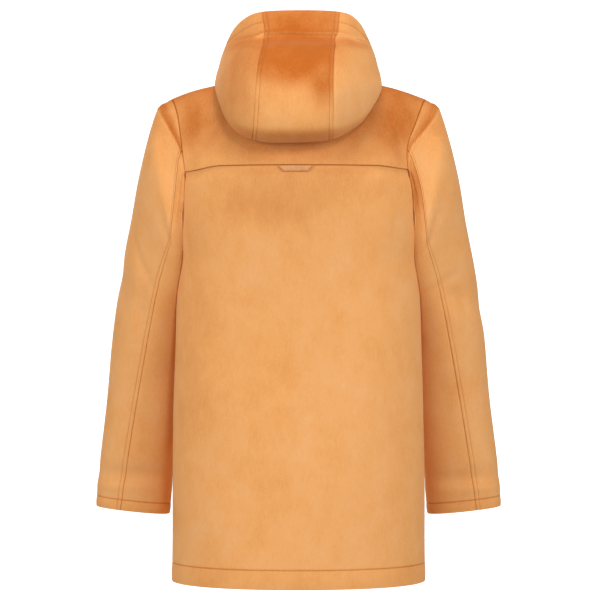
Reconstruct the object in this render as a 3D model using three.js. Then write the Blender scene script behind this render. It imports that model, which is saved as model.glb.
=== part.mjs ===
import * as THREE from "three";

// A duffle coat of brushed wool, filled out and hollow, with its hood down.
// Millimetres, +Z up, front towards -Y, the wearer's left at +X. The origin is the middle of
// the neck opening, level with the points where the shoulders meet the neck.

// Cloth, seams and laps
const CLOTH = 2.8;
const SEAM_GAP = 0.34;
const ARMHOLE_GAP = 0.45;
const LAP_GAP = 0.6;
const LAP_WIDTH = 11;
const LAP_FADE = 20;

// Body
const UNDERARM = -285;
const CHEST = -205;
const YOKE_LINE = -143;
const ROUNDNESS = 2.2;
const FRONT_LAP = 32;
const LAP_EASE = 26;
const BODY_SECTIONS = [
  { z: -799, side: 203, back: 133, front: 135 },
  { z: -771, side: 202.5, back: 132, front: 134 },
  { z: -656, side: 201, back: 126, front: 131 },
  { z: -512, side: 199.5, back: 117, front: 127 },
  { z: -432, side: 197, back: 112, front: 124 },
  { z: -352, side: 194.5, back: 110, front: 123 },
  { z: -304, side: 190, back: 112, front: 124 },
  { z: -285, side: 189, back: 113, front: 124 },
  { z: -240, side: 196, back: 115.5, front: 124 },
  { z: -205, side: 200, back: 117, front: 122 },
  { z: -143, side: 202, back: 118, front: 112 },
  { z: -120, side: 202, back: 116, front: 104 },
];
// How far round from the middle of the back the armhole lies, in degrees
const ARMHOLE = [
  { z: -285, round: 90 },
  { z: -270, round: 77 },
  { z: -240, round: 68 },
  { z: -205, round: 63.5 },
  { z: -143, round: 61 },
  { z: -120, round: 60.5 },
];
const BODY_ROWS = [-799, -768, -720, -656, -590, -520, -450, -400, -352, -318, -300, -285, -270, -240,
  -205];

// Neck opening
const NECK = { side: 83, middle: 3, back: 65, front: 80, backDrop: 13, frontDrop: 74, frontBend: 1.4 };
const NECK_AT_FRONT_SEAM = 118;

// Armhole above the yoke line, from the front yoke seam over the shoulder to the back
const SHOULDER_EDGE = [
  { step: 0, x: 192, y: -38, z: -62 },
  { step: 1, x: 199, y: -20, z: -43 },
  { step: 2, x: 204, y: 0, z: -31 },
  { step: 3, x: 199, y: 18, z: -37 },
  { step: 4, x: 192, y: 34, z: -58 },
  { step: 5, x: 187, y: 47, z: -86 },
  { step: 6, x: 183, y: 56, z: -114 },
];
const SHOULDER_STEPS = 7;
const BACK_STEPS = 8;
const YOKE_ROWS = 6;

// Ribs of the yoke: where each leaves the neck, and its directions there and at its outer end
const YOKE_RIBS = [
  { step: 0, neck: 118, outX: 119, outY: -12, outZ: -22, endX: 105, endY: 5, endZ: -60 },
  { step: 2, neck: 88, outX: 121, outY: -3, outZ: -22, endX: 115, endY: -2, endZ: -44 },
  { step: 4, neck: 66, outX: 130, outY: 14, outZ: -24, endX: 88, endY: 10, endZ: -92 },
  { step: 7, neck: 42, outX: 140, outY: 34, outZ: -46, endX: 18, endY: 8, endZ: -150 },
  { step: 11, neck: 20, outX: 58, outY: 66, outZ: -72, endX: 6, endY: 10, endZ: -140 },
  { step: 15, neck: 0, outX: 0, outY: 80, outZ: -82, endX: 0, endY: 10, endZ: -135 },
];
// The yoke's lower edge droops a little towards each armhole
const YOKE_DROOP = { from: 120, to: 182, left: 8, right: 4 };

// Sleeves: sections from the upper arm to the cuff, each an oval between an outer and an inner point,
// with the place of the seam down the back of the arm, in degrees round from the outer point
const SLEEVE_SECTIONS = [
  { along: 2, outerX: 238, outerZ: -84, innerX: 184, innerZ: -297, y: -4, depth: 64, seam: 106 },
  { along: 3, outerX: 257, outerZ: -157, innerX: 183, innerZ: -318, y: -15, depth: 63, seam: 107 },
  { along: 4, outerX: 270, outerZ: -225, innerX: 184, innerZ: -350, y: -30, depth: 60, seam: 102 },
  { along: 5, outerX: 286, outerZ: -302, innerX: 185, innerZ: -387, y: -46, depth: 58, seam: 97 },
  { along: 6, outerX: 301, outerZ: -400, innerX: 187, innerZ: -440, y: -64, depth: 56, seam: 91 },
  { along: 7, outerX: 313, outerZ: -512, innerX: 193, innerZ: -530, y: -82, depth: 52, seam: 83 },
  { along: 8, outerX: 328, outerZ: -632, innerX: 206, innerZ: -640, y: -95, depth: 46, seam: 78 },
  { along: 9, outerX: 333, outerZ: -690, innerX: 212, innerZ: -703, y: -100, depth: 43, seam: 75 },
];
const SLEEVE_ALONG = [9, 8.6, 8.3, 8.15, 8, 7.5, 7, 6.5, 6, 5.6, 5.2, 4.6, 4, 3.4, 2.8, 2.3, 1.7, 1, 0.5, 0];
// The sleeve head stands out from the armhole to a soft ridge, with a shallow valley before it
const HEAD_RIDGE = { top: 19, low: 7, outTop: 1, outLow: 0.5, dropTop: 0.58, dropLow: 0.9, spread: 0.25,
  rise: 0.4, valley: 0.3, frontShare: 0.4 };
// Which step of the armhole each sleeve seam starts at, counted from the front yoke seam
const BACK_SEAM_STEP = 6;
const FRONT_SEAM_STEP = 17;
const FRONT_SEAM_TURN = 232;
// How far from the back seam to the front one the innermost line of the sleeve lies
const INNER_SHARE = 0.55;
const SLEEVE_CLEARANCE = 2.5;
const SLEEVE_ROUNDNESS = 2.15;
const SLEEVE_EASE = 50;
const UNDERARM_REACH = 12;
const TURNED_BACK = 0.35;
const ELBOW_SEAM = 91;
// Soft folds of each sleeve: place along it and round it, depth, and half lengths both ways
const SLEEVE_FOLDS = {
  left: [
    { along: 8.15, round: 90, deep: 2.6, long: 0.16, wide: 80, slant: 0 },
    { along: 5.2, round: 20, deep: 3, long: 0.3, wide: 45, slant: 0.006 },
    { along: 5.9, round: 210, deep: 3.5, long: 0.3, wide: 60, slant: -0.004 },
  ],
  right: [
    { along: 8.15, round: 90, deep: 2.6, long: 0.16, wide: 80, slant: 0 },
    { along: 5.4, round: 35, deep: 4, long: 0.28, wide: 50, slant: -0.008 },
    { along: 6.1, round: 205, deep: 3.5, long: 0.3, wide: 60, slant: 0.004 },
  ],
};

// Hood, lying on the shoulders: profiles from the neck seam, under and round the pouch, to the rim.
// Each row is one station round the neck on the left side, from the middle of the back to the front.
const HOOD_STATIONS = [
  { at: 0, neck: 0, points: { over: [0, 84, -2], under: [0, 107, -46], low: [0, 124, -108],
    bulge: [0, 179, -99], out: [0, 188, -45], high: [0, 174, 0], fold: [0, 146, 37],
    pinch: [0, 116, 57], rim: [0, 94, 100] } },
  { at: 1, neck: 44, points: { over: [62, 63, 1], under: [62, 97, -42], low: [62, 114, -102],
    bulge: [61, 167, -94], out: [60, 176, -42], high: [59, 165, 1], fold: [57, 142, 36],
    pinch: [56, 113, 56], rim: [61, 90, 98] } },
  { at: 2, neck: 62, points: { over: [80, 44, 3], under: [92, 74, -18], low: [101, 93, -73],
    bulge: [106, 122, -68], out: [107, 126, -30], high: [101, 121, 6], fold: [94, 110, 36],
    pinch: [87, 93, 55], rim: [88, 74, 89] } },
  { at: 3, neck: 82, points: { over: [91, 20, 6], under: [107, 36, 4], low: [122, 60, -26],
    bulge: [130, 66, -23], out: [128, 68, -9], high: [123, 67, 10], fold: [118, 64, 33],
    pinch: [112, 56, 52], rim: [106, 44, 71] } },
  { at: 4, neck: 104, points: { over: [89, -8, 1], under: [102, 2, 2], low: [117, 10, 1],
    bulge: [125, 13, 3], out: [127, 15, 10], high: [125, 15, 19], fold: [121, 13, 31],
    pinch: [116, 9, 42], rim: [109, 2, 54] } },
  { at: 5, neck: 126, points: { over: [77, -40, -23], under: [87, -38, -15], low: [97, -36, -9],
    bulge: [104, -35, -4], out: [108, -34, 2], high: [108, -34, 9], fold: [106, -35, 17],
    pinch: [102, -37, 25], rim: [96, -41, 33] } },
  { at: 6, neck: 150, points: { over: [49, -71, -53], under: [54, -76, -48], low: [59, -80, -43],
    bulge: [63, -83, -38], out: [66, -85, -33], high: [68, -85, -27], fold: [69, -84, -20],
    pinch: [68, -82, -12], rim: [65, -80, -3] } },
  { at: 7, neck: 174, points: { over: [11, -84, -72], under: [12, -88, -69], low: [13, -91, -66],
    bulge: [14, -94, -63], out: [15, -96, -59], high: [16, -97, -55], fold: [17, -98, -50],
    pinch: [18, -98, -45], rim: [19, -98, -39] } },
];
const HOOD_PROFILE = ["over", "under", "low", "bulge", "out", "high", "fold", "pinch", "rim"];
const HOOD_STEPS = [0, 0.6, 1, 1.5, 2, 2.5, 3, 3.5, 4, 4.5, 5, 5.5, 6, 6.5, 7, 7.5, 8, 8.5, 9];
const HOOD_SIDE_STATIONS = [1, 1.35, 1.7, 2, 2.4, 2.8, 3.2, 3.6, 4, 4.5, 5, 5.6, 6.2, 7];
const HOOD_PINCH = { step: 8, deep: 3, long: 0.35 };
const NECK_SEAM_LIFT = 0.5;

// Hanger loop at the yoke line
const HANGER = { middle: 4.5, topHalf: 26, bottomHalf: 19, tall: 9, thick: 1.8, below: 0.5, seat: 0.2 };

// Toggle fastenings
const TOGGLE_HEIGHTS = [-165, -285, -405, -525];
const PATCH = { inner: 54, outer: 98, half: 17, thick: 1.8, gap: 0.45, columns: 7 };
const CORD = { radius: 2, loopHalf: 5, sides: 8, steps: 18 };
const CORD_LIFT = CORD.radius + 0.4;
const LOOP_RISE = 6.8;
const TOGGLE = { half: 27, groove: 11, waist: 5.4, belly: 7.6, end: 4.6, bottom: 9.4 };

const WOOL = new THREE.MeshStandardMaterial({ color: "#e0a065", roughness: 0.95, metalness: 0 });
const LEATHER = new THREE.MeshStandardMaterial({ color: "#dba072", roughness: 0.6, metalness: 0 });
const HORN = new THREE.MeshStandardMaterial({ color: "#5a3b24", roughness: 0.35, metalness: 0 });

const radians = (degrees) => degrees * Math.PI / 180;
const mix = (from, to, share) => from + (to - from) * share;
const clamp = (value, low, high) => Math.min(Math.max(value, low), high);
const easeBetween = (from, to, value) => {
  const share = clamp((value - from) / (to - from), 0, 1);
  return share * share * (3 - 2 * share);
};

// Smooth curve through values at keys in rising order, straight on past both ends
function smooth(keys, values, at) {
  const last = keys.length - 1;
  const slope = (i) => {
    const before = Math.max(i - 1, 0);
    const after = Math.min(i + 1, last);
    return (values[after] - values[before]) / (keys[after] - keys[before]);
  };
  let i = 0;
  while (i < last - 1 && at > keys[i + 1]) i += 1;
  const width = keys[i + 1] - keys[i];
  const s = clamp((at - keys[i]) / width, 0, 1);
  const past = at - clamp(at, keys[0], keys[last]);
  const value = (2 * s ** 3 - 3 * s ** 2 + 1) * values[i]
    + (s ** 3 - 2 * s ** 2 + s) * width * slope(i)
    + (3 * s ** 2 - 2 * s ** 3) * values[i + 1]
    + (s ** 3 - s ** 2) * width * slope(i + 1);
  return value + past * slope(past < 0 ? 0 : last);
}

function column(table, key, name, at) {
  return smooth(table.map((row) => row[key]), table.map((row) => row[name]), at);
}

function smoothPoint(keys, points, at) {
  const axis = (name) => smooth(keys, points.map((point) => point[name]), at);
  return new THREE.Vector3(axis("x"), axis("y"), axis("z"));
}

// Curve from one point to another, leaving and arriving along the two directions
function sweep(start, leave, end, arrive, s) {
  return new THREE.Vector3()
    .addScaledVector(start, 2 * s ** 3 - 3 * s ** 2 + 1)
    .addScaledVector(leave, s ** 3 - 2 * s ** 2 + s)
    .addScaledVector(end, 3 * s ** 2 - 2 * s ** 3)
    .addScaledVector(arrive, s ** 3 - s ** 2);
}

// A panel is a grid of points, its rows going up and its columns going round anticlockwise as seen
// from above, so that the cloth's outer side always lies on the same side of the grid.
function panel(rows, columns, pointAt) {
  const points = rows.map((row, r) => columns.map((place, c) => pointAt(row, place, r, c)));
  return { points, normals: gridNormals(points) };
}

function gridNormals(points) {
  const near = (list, i, step) => list[clamp(i + step, 0, list.length - 1)];
  return points.map((row, r) => row.map((_, c) => {
    const along = near(row, c, 1).clone().sub(near(row, c, -1));
    const upward = near(points, r, 1)[c].clone().sub(near(points, r, -1)[c]);
    return along.cross(upward).normalize();
  }));
}

// The other side's panel: mirrored across the middle plane
function mirrored(half) {
  const flip = (grid) => grid.map((row) => row.map((v) => new THREE.Vector3(-v.x, v.y, v.z)).reverse());
  return { points: flip(half.points), normals: flip(half.normals) };
}

// Edges are lists of places in a panel, so that two panels can share one seam
const rowEdge = (piece, row, from = 0, to = piece.points[0].length - 1) => {
  const step = to >= from ? 1 : -1;
  return Array.from({ length: Math.abs(to - from) + 1 }, (_, i) => ({ piece, r: row, c: from + step * i }));
};
const columnEdge = (piece, c, from = 0, to = piece.points.length - 1) => {
  const step = to >= from ? 1 : -1;
  return Array.from({ length: Math.abs(to - from) + 1 }, (_, i) => ({ piece, r: from + step * i, c }));
};
const normalAt = ({ piece, r, c }) => piece.normals[r][c];
const pointAt = ({ piece, r, c }) => piece.points[r][c];

// Gives both sides of a seam the same normals, so that their cut edges stand parallel
function shareNormals(edgeA, edgeB) {
  edgeA.forEach((place, i) => {
    const both = normalAt(place).clone().add(normalAt(edgeB[i])).normalize();
    normalAt(place).copy(both);
    normalAt(edgeB[i]).copy(both);
  });
}

// Draws an edge back from the seam line into its own panel
function drawBack(edge, distance, stepR, stepC) {
  const moves = edge.map((place) => {
    const inside = place.piece.points[place.r + stepR][place.c + stepC];
    return inside.clone().sub(pointAt(place)).normalize().multiplyScalar(distance);
  });
  edge.forEach((place, i) => pointAt(place).add(moves[i]));
}

// Closed wall: the panel's points, the same points moved in by the thickness, and the cut edges
function wall(piece, thickness) {
  const rows = piece.points.length;
  const columns = piece.points[0].length;
  const positions = [];
  const outer = (r, c) => r * columns + c;
  const inner = (r, c) => rows * columns + r * columns + c;
  piece.points.forEach((row) => row.forEach((point) => positions.push(point.x, point.y, point.z)));
  piece.points.forEach((row, r) => row.forEach((point, c) => {
    const inside = point.clone().addScaledVector(piece.normals[r][c], -thickness);
    positions.push(inside.x, inside.y, inside.z);
  }));
  const index = [];
  const quad = (a, b, c, d) => index.push(a, b, c, a, c, d);
  for (let r = 0; r < rows - 1; r += 1) {
    for (let c = 0; c < columns - 1; c += 1) {
      quad(outer(r, c), outer(r, c + 1), outer(r + 1, c + 1), outer(r + 1, c));
      quad(inner(r, c), inner(r + 1, c), inner(r + 1, c + 1), inner(r, c + 1));
    }
    quad(outer(r, 0), outer(r + 1, 0), inner(r + 1, 0), inner(r, 0));
    quad(outer(r, columns - 1), inner(r, columns - 1), inner(r + 1, columns - 1), outer(r + 1, columns - 1));
  }
  for (let c = 0; c < columns - 1; c += 1) {
    quad(outer(0, c), inner(0, c), inner(0, c + 1), outer(0, c + 1));
    quad(outer(rows - 1, c), outer(rows - 1, c + 1), inner(rows - 1, c + 1), inner(rows - 1, c));
  }
  const geometry = new THREE.BufferGeometry();
  geometry.setAttribute("position", new THREE.Float32BufferAttribute(positions, 3));
  geometry.setIndex(index);
  geometry.computeVertexNormals();
  return geometry;
}

// Body surface: an oval section at each height, turned by degrees from the middle of the back
// towards the wearer's left
function torso(z, degrees) {
  const turn = radians(degrees);
  const bend = 2 / ROUNDNESS;
  const soft = (value) => Math.sign(value) * Math.abs(value) ** bend;
  const depth = column(BODY_SECTIONS, "z", Math.cos(turn) > 0 ? "back" : "front", z);
  const side = column(BODY_SECTIONS, "z", "side", z);
  return new THREE.Vector3(side * soft(Math.sin(turn)), depth * soft(Math.cos(turn)), z);
}

function torsoNormal(z, degrees) {
  const reach = 1;
  const along = torso(z, degrees + reach).sub(torso(z, degrees - reach));
  const upward = torso(z + reach, degrees).sub(torso(z - reach, degrees));
  return upward.cross(along).normalize();
}

const insetTorso = (z, degrees, inset) => torso(z, degrees).addScaledVector(torsoNormal(z, degrees), -inset);

// Degrees round the front half at which the body surface has a given x
function frontTurn(z, x) {
  const side = column(BODY_SECTIONS, "z", "side", z);
  const turn = Math.asin(Math.abs(x / side) ** (ROUNDNESS / 2)) * 180 / Math.PI;
  return 180 - Math.sign(x) * turn;
}

function neckline(degrees) {
  const turn = radians(degrees);
  const back = Math.cos(turn);
  const depth = back > 0 ? NECK.back : NECK.front;
  const drop = back > 0 ? NECK.backDrop * back ** 2 : NECK.frontDrop * (-back) ** NECK.frontBend;
  return new THREE.Vector3(NECK.side * Math.sin(turn), NECK.middle + depth * back, -drop);
}

function yokeLineAt(x) {
  const droop = x > 0 ? YOKE_DROOP.left : YOKE_DROOP.right;
  return YOKE_LINE - droop * easeBetween(YOKE_DROOP.from, YOKE_DROOP.to, Math.abs(x));
}

const armholeTurn = (z) => z <= UNDERARM ? 90 : column(ARMHOLE, "z", "round", z);

// Point of the body on the yoke line, a share of the way from the left armhole (1) to the right (-1)
function yokeLinePoint(share, above = 0) {
  const turn = share * armholeTurn(YOKE_LINE);
  const z = yokeLineAt(torso(YOKE_LINE, turn).x) + above;
  return { z, turn };
}

// Yoke: ribs from its outer edge up to the neck, in columns from the left front seam round the back
const YOKE_HALF = SHOULDER_STEPS + BACK_STEPS;
const YOKE_COLUMNS = Array.from({ length: 2 * YOKE_HALF + 1 }, (_, i) => i);

function yokeOuter(step, side) {
  if (step < SHOULDER_STEPS) {
    const lower = (YOKE_DROOP.left - YOKE_DROOP.right) * 0.5;
    const drop = side < 0 ? 0 : easeBetween(3, SHOULDER_STEPS, step) * lower;
    const edge = (name) => column(SHOULDER_EDGE, "step", name, step);
    return new THREE.Vector3(side * edge("x"), edge("y"), edge("z") - drop);
  }
  const share = side * (1 - (step - SHOULDER_STEPS) / BACK_STEPS);
  const { z, turn } = yokeLinePoint(share);
  return torso(z, turn);
}

function yokePoint(along, place) {
  const side = place <= YOKE_HALF ? 1 : -1;
  const step = place <= YOKE_HALF ? place : 2 * YOKE_HALF - place;
  const rib = (name) => column(YOKE_RIBS, "step", name, step);
  const leave = new THREE.Vector3(side * rib("outX"), rib("outY"), rib("outZ"));
  const arrive = new THREE.Vector3(side * rib("endX"), rib("endY"), rib("endZ"));
  return sweep(neckline(side * rib("neck")), leave, yokeOuter(step, side), arrive, 1 - along);
}

const yokeRows = Array.from({ length: YOKE_ROWS + 1 }, (_, i) => i / YOKE_ROWS);
const yoke = panel(yokeRows, YOKE_COLUMNS, yokePoint);

// Back panel: from the hem to the yoke line, and a hidden strip under the yoke's edge
const BACK_SHARES = Array.from({ length: 2 * BACK_STEPS + 1 }, (_, i) => 1 - i / BACK_STEPS);
const BACK_UPPER = [0.35, 0.68, 0.86];
const backRows = [
  ...BODY_ROWS.map((z) => ({ z })),
  ...BACK_UPPER.map((rise) => ({ rise })),
  { tab: 0 },
  { tab: LAP_WIDTH * 0.3 },
  { tab: LAP_WIDTH },
];
const TAB_NARROWING = 0.985;

// Point under the yoke's edge, a distance up from it and clear of its inner face
function underYoke(place, distance) {
  const low = yoke.points[0][place];
  const high = yoke.points[1][place];
  const share = distance / low.distanceTo(high);
  const normal = yoke.normals[0][place].clone().lerp(yoke.normals[1][place], share).normalize();
  return low.clone().lerp(high, share).addScaledVector(normal, -(CLOTH + LAP_GAP));
}

function backPoint(row, share, _, c) {
  const line = yokeLinePoint(share);
  if (row.tab !== undefined) {
    const hidden = underYoke(SHOULDER_STEPS + c, row.tab);
    if (row.tab > 0) hidden.x *= TAB_NARROWING;
    return hidden;
  }
  const z = row.z ?? mix(CHEST, line.z, row.rise);
  const reach = row.z ? armholeTurn(z) : mix(armholeTurn(CHEST), armholeTurn(YOKE_LINE), row.rise);
  const turn = share * reach;
  return insetTorso(z, turn, (CLOTH + LAP_GAP) * easeBetween(line.z - LAP_FADE, line.z, z));
}
const back = panel(backRows, BACK_SHARES, backPoint);

// Fronts: hem to chest on the body surface, then up to the neckline and the front yoke seam
const LAP_COLUMNS = [-FRONT_LAP, -FRONT_LAP / 3, FRONT_LAP / 3, FRONT_LAP];
const NECK_STEPS = 3;
const SEAM_STEPS = YOKE_ROWS;
const TOP_STEPS = NECK_STEPS + SEAM_STEPS;
const FRONT_UPPER = [0.2, 0.42, 0.64, 0.84, 1];
const frontColumns = [
  ...LAP_COLUMNS.map((x) => ({ x })),
  ...Array.from({ length: TOP_STEPS }, (_, i) => ({ out: (i + 1) / TOP_STEPS })),
];
const frontRows = [...BODY_ROWS.map((z) => ({ z })), ...FRONT_UPPER.map((rise) => ({ rise }))];

const necklineTurnAtX = (x) => 180 - Math.asin(x / NECK.side) * 180 / Math.PI;

function frontTop(place) {
  if (place.x !== undefined) return neckline(necklineTurnAtX(place.x));
  const step = place.out * TOP_STEPS;
  if (step <= NECK_STEPS) {
    return neckline(mix(necklineTurnAtX(FRONT_LAP), NECK_AT_FRONT_SEAM, step / NECK_STEPS));
  }
  return yokePoint(1 - (step - NECK_STEPS) / SEAM_STEPS, 0);
}

function frontSurface(row, place) {
  const z = row.z ?? CHEST;
  const lapTurn = frontTurn(z, FRONT_LAP);
  const turn = place.x !== undefined ? frontTurn(z, place.x) : mix(lapTurn, 180 - armholeTurn(z), place.out);
  if (row.rise === undefined) return torso(z, turn);
  const rise = place.out ?? 0;
  const leave = new THREE.Vector3(0, mix(6, 3, rise), mix(130, 120, rise));
  const arrive = new THREE.Vector3(mix(0, 10, rise), mix(100, 45, rise), mix(95, 105, rise));
  return sweep(torso(z, turn), leave, frontTop(place), arrive, row.rise);
}

const frontLeft = panel(frontRows, frontColumns, frontSurface);

// The right front is the left one mirrored, set in where it passes under the left front
const frontRight = mirrored(frontLeft);
frontRight.points.forEach((row, r) => row.forEach((point, c) => {
  const inset = (CLOTH + LAP_GAP) * (1 - easeBetween(FRONT_LAP + 2, FRONT_LAP + LAP_EASE, -point.x));
  point.addScaledVector(frontRight.normals[r][c], -inset);
}));
frontRight.normals = gridNormals(frontRight.points);

// Seams of the body
const lastColumn = (piece) => piece.points[0].length - 1;
const lastRow = (piece) => piece.points.length - 1;
const UNDERARM_ROW = BODY_ROWS.indexOf(UNDERARM);
const seamColumns = (piece) => [lastColumn(piece), lastColumn(piece) - SEAM_STEPS];

const sideSeam = (piece, c) => columnEdge(piece, c, 0, UNDERARM_ROW);
shareNormals(sideSeam(back, 0), sideSeam(frontLeft, lastColumn(frontLeft)));
shareNormals(sideSeam(back, lastColumn(back)), sideSeam(frontRight, 0));
shareNormals(columnEdge(yoke, 0), rowEdge(frontLeft, lastRow(frontLeft), ...seamColumns(frontLeft)));
shareNormals(columnEdge(yoke, lastColumn(yoke)), rowEdge(frontRight, lastRow(frontRight), 0, SEAM_STEPS));

// Armhole loops, anticlockwise from the front yoke seam over the shoulder and back under the arm
function armhole(side) {
  const left = side > 0;
  const backTop = BODY_ROWS.length + BACK_UPPER.length;
  const front = left ? frontLeft : frontRight;
  const overShoulder = left ? rowEdge(yoke, 0, 0, SHOULDER_STEPS)
    : rowEdge(yoke, 0, lastColumn(yoke), lastColumn(yoke) - SHOULDER_STEPS);
  const downBack = columnEdge(back, left ? 0 : lastColumn(back), backTop - 1, UNDERARM_ROW);
  const upFront = columnEdge(front, left ? lastColumn(front) : 0, UNDERARM_ROW + 1, lastRow(front) - 1);
  return [...overShoulder, ...downBack, ...upFront];
}
const armholes = { left: armhole(1), right: armhole(-1) };

// Sleeves: each column starts at a point of the armhole and runs down through the oval sections
const bodyOuterX = (y, z) => {
  const depth = column(BODY_SECTIONS, "z", y > 0 ? "back" : "front", z);
  const share = 1 - Math.min(Math.abs(y) / depth, 1) ** ROUNDNESS;
  return column(BODY_SECTIONS, "z", "side", z) * share ** (1 / ROUNDNESS);
};

function keepClear(point) {
  if (point.z > UNDERARM + UNDERARM_REACH) return point;
  const below = easeBetween(UNDERARM, UNDERARM - SLEEVE_EASE, point.z);
  const least = bodyOuterX(point.y, point.z) + mix(ARMHOLE_GAP, SLEEVE_CLEARANCE, below);
  point.x = 0.5 * (point.x + least + Math.hypot(point.x - least, 4 * below));
  return point;
}

function loopTurns(loop) {
  const points = loop.map(pointAt);
  const top = points.reduce((best, point, i) => point.z > points[best].z ? i : best, 0);
  const low = points.reduce((best, point, i) => point.z < points[best].z ? i : best, 0);
  const lengths = points.map((point, i) => point.distanceTo(points[(i + 1) % points.length]));
  const arc = (from, to) => {
    let sum = 0;
    for (let i = from; i !== to; i = (i + 1) % points.length) sum += lengths[i];
    return sum;
  };
  return points.map((_, i) => i >= top && i <= low
    ? 180 * arc(top, i) / arc(top, low)
    : 180 + 180 * arc(low, i) / arc(low, top));
}

function sleeveFold(folds, along, turn) {
  return folds.reduce((sum, fold) => {
    const round = ((turn - fold.round + 540) % 360) - 180;
    const off = (along - fold.along - fold.slant * round) / fold.long;
    return sum - fold.deep * Math.exp(-(off ** 2)) * Math.exp(-((round / fold.wide) ** 2));
  }, 0);
}

// Degrees round a section for a column that starts at the given turn of the armhole, so that the
// seams lie where the section has them
function seamTurn(turn, seams, backSeam) {
  const from = [0, seams.back, 180, seams.front, 360];
  const inner = mix(backSeam, FRONT_SEAM_TURN, INNER_SHARE);
  const to = [0, backSeam, inner, FRONT_SEAM_TURN, 360];
  const i = from.findLastIndex((knot, k) => k < from.length - 1 && turn >= knot);
  return mix(to[i], to[i + 1], (turn - from[i]) / (from[i + 1] - from[i]));
}

function sleeveLine(loopPoint, loopNormal, turn, seams, along) {
  const angle = radians(turn);
  const bend = 2 / SLEEVE_ROUNDNESS;
  const soft = (value) => Math.sign(value) * Math.abs(value) ** bend;
  const topness = clamp(HEAD_RIDGE.spread + Math.cos(angle), 0, 1);
  const reach = mix(HEAD_RIDGE.low, HEAD_RIDGE.top, topness * topness);
  const outward = new THREE.Vector3(mix(HEAD_RIDGE.outLow, HEAD_RIDGE.outTop, topness), 0,
    -mix(HEAD_RIDGE.dropLow, HEAD_RIDGE.dropTop, topness));
  const ridge = loopPoint.clone().addScaledVector(outward, reach).addScaledVector(loopNormal, HEAD_RIDGE.rise);
  const depth = HEAD_RIDGE.valley * topness * (turn < 180 ? 1 : HEAD_RIDGE.frontShare);
  const valley = loopPoint.clone().addScaledVector(outward, reach / 2).addScaledVector(loopNormal, -depth);
  const sections = SLEEVE_SECTIONS.map((section) => {
    const round = radians(seamTurn(turn, seams, section.seam));
    const outerShare = 0.5 + 0.5 * soft(Math.cos(round));
    return new THREE.Vector3(
      mix(section.innerX, section.outerX, outerShare),
      section.y + section.depth * soft(Math.sin(round)),
      mix(section.innerZ, section.outerZ, outerShare),
    );
  });
  const keys = [0, 0.5, 1, ...SLEEVE_SECTIONS.map((section) => section.along)];
  const points = [loopPoint, valley, ridge, ...sections.map(keepClear)];
  return smoothPoint(keys, points, along);
}

// Whole sleeve as a tube, its first column repeated at its end
function sleeveTube(name) {
  const side = name === "left" ? 1 : -1;
  const loop = armholes[name];
  const turns = loopTurns(loop);
  const seams = { back: turns[BACK_SEAM_STEP], front: turns[FRONT_SEAM_STEP] };
  const flip = (v) => new THREE.Vector3(side * v.x, v.y, v.z);
  const steps = [...loop.keys(), 0];
  const tube = panel(SLEEVE_ALONG, steps, (along, i) => {
    const start = flip(pointAt(loop[i])).add(new THREE.Vector3(ARMHOLE_GAP, 0, 0));
    return keepClear(sleeveLine(start, flip(normalAt(loop[i])), turns[i], seams, along));
  });
  closeNormals(tube);
  tube.points.forEach((row, r) => row.forEach((point, c) => {
    const along = SLEEVE_ALONG[r];
    const round = seamTurn(turns[steps[c]], seams, ELBOW_SEAM);
    if (along <= SLEEVE_SECTIONS[0].along) return;
    point.addScaledVector(tube.normals[r][c], sleeveFold(SLEEVE_FOLDS[name], along, round));
  }));
  closeNormals(tube);
  // The sleeve head's cut edge stands parallel to the body's, but not where it turns back under the arm
  const headRow = lastRow(tube);
  steps.forEach((i, c) => {
    const shared = flip(normalAt(loop[i]));
    if (shared.dot(tube.normals[headRow][c]) > TURNED_BACK) tube.normals[headRow][c].copy(shared);
  });
  return tube;
}

// Normals of a tube whose last column repeats its first
function closeNormals(tube) {
  const wrapped = tube.points.map((row) => [row[row.length - 2], ...row, row[1]]);
  tube.normals = gridNormals(wrapped).map((row) => row.slice(1, -1));
}

// Columns of a panel from one place to another, past the end and on from the start where needed
function slice(piece, from, to) {
  const count = piece.points[0].length - 1;
  const steps = Array.from({ length: (to - from + count) % count + 1 }, (_, i) => (from + i) % count);
  const pick = (grid) => grid.map((row) => steps.map((i) => row[i].clone()));
  return { points: pick(piece.points), normals: pick(piece.normals) };
}

const sleeves = {};
for (const name of ["left", "right"]) {
  const tube = sleeveTube(name);
  const pieces = {
    upper: slice(tube, FRONT_SEAM_STEP, BACK_SEAM_STEP),
    under: slice(tube, BACK_SEAM_STEP, FRONT_SEAM_STEP),
  };
  for (const piece of Object.values(pieces)) {
    drawBack(columnEdge(piece, 0), SEAM_GAP / 2, 0, 1);
    drawBack(columnEdge(piece, lastColumn(piece)), SEAM_GAP / 2, 0, -1);
  }
  sleeves[name] = name === "left" ? pieces
    : { upper: mirrored(pieces.upper), under: mirrored(pieces.under) };
}

// Body edges are drawn back after the sleeves have taken their armholes
const half = SEAM_GAP / 2;
drawBack(sideSeam(back, 0), half, 0, 1);
drawBack(sideSeam(back, lastColumn(back)), half, 0, -1);
drawBack(sideSeam(frontLeft, lastColumn(frontLeft)), half, 0, -1);
drawBack(sideSeam(frontRight, 0), half, 0, 1);
drawBack(columnEdge(yoke, 0), half, 0, 1);
drawBack(columnEdge(yoke, lastColumn(yoke)), half, 0, -1);
drawBack(rowEdge(frontLeft, lastRow(frontLeft), ...seamColumns(frontLeft)), half, -1, 0);
drawBack(rowEdge(frontRight, lastRow(frontRight), 0, SEAM_STEPS), half, -1, 0);

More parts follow.
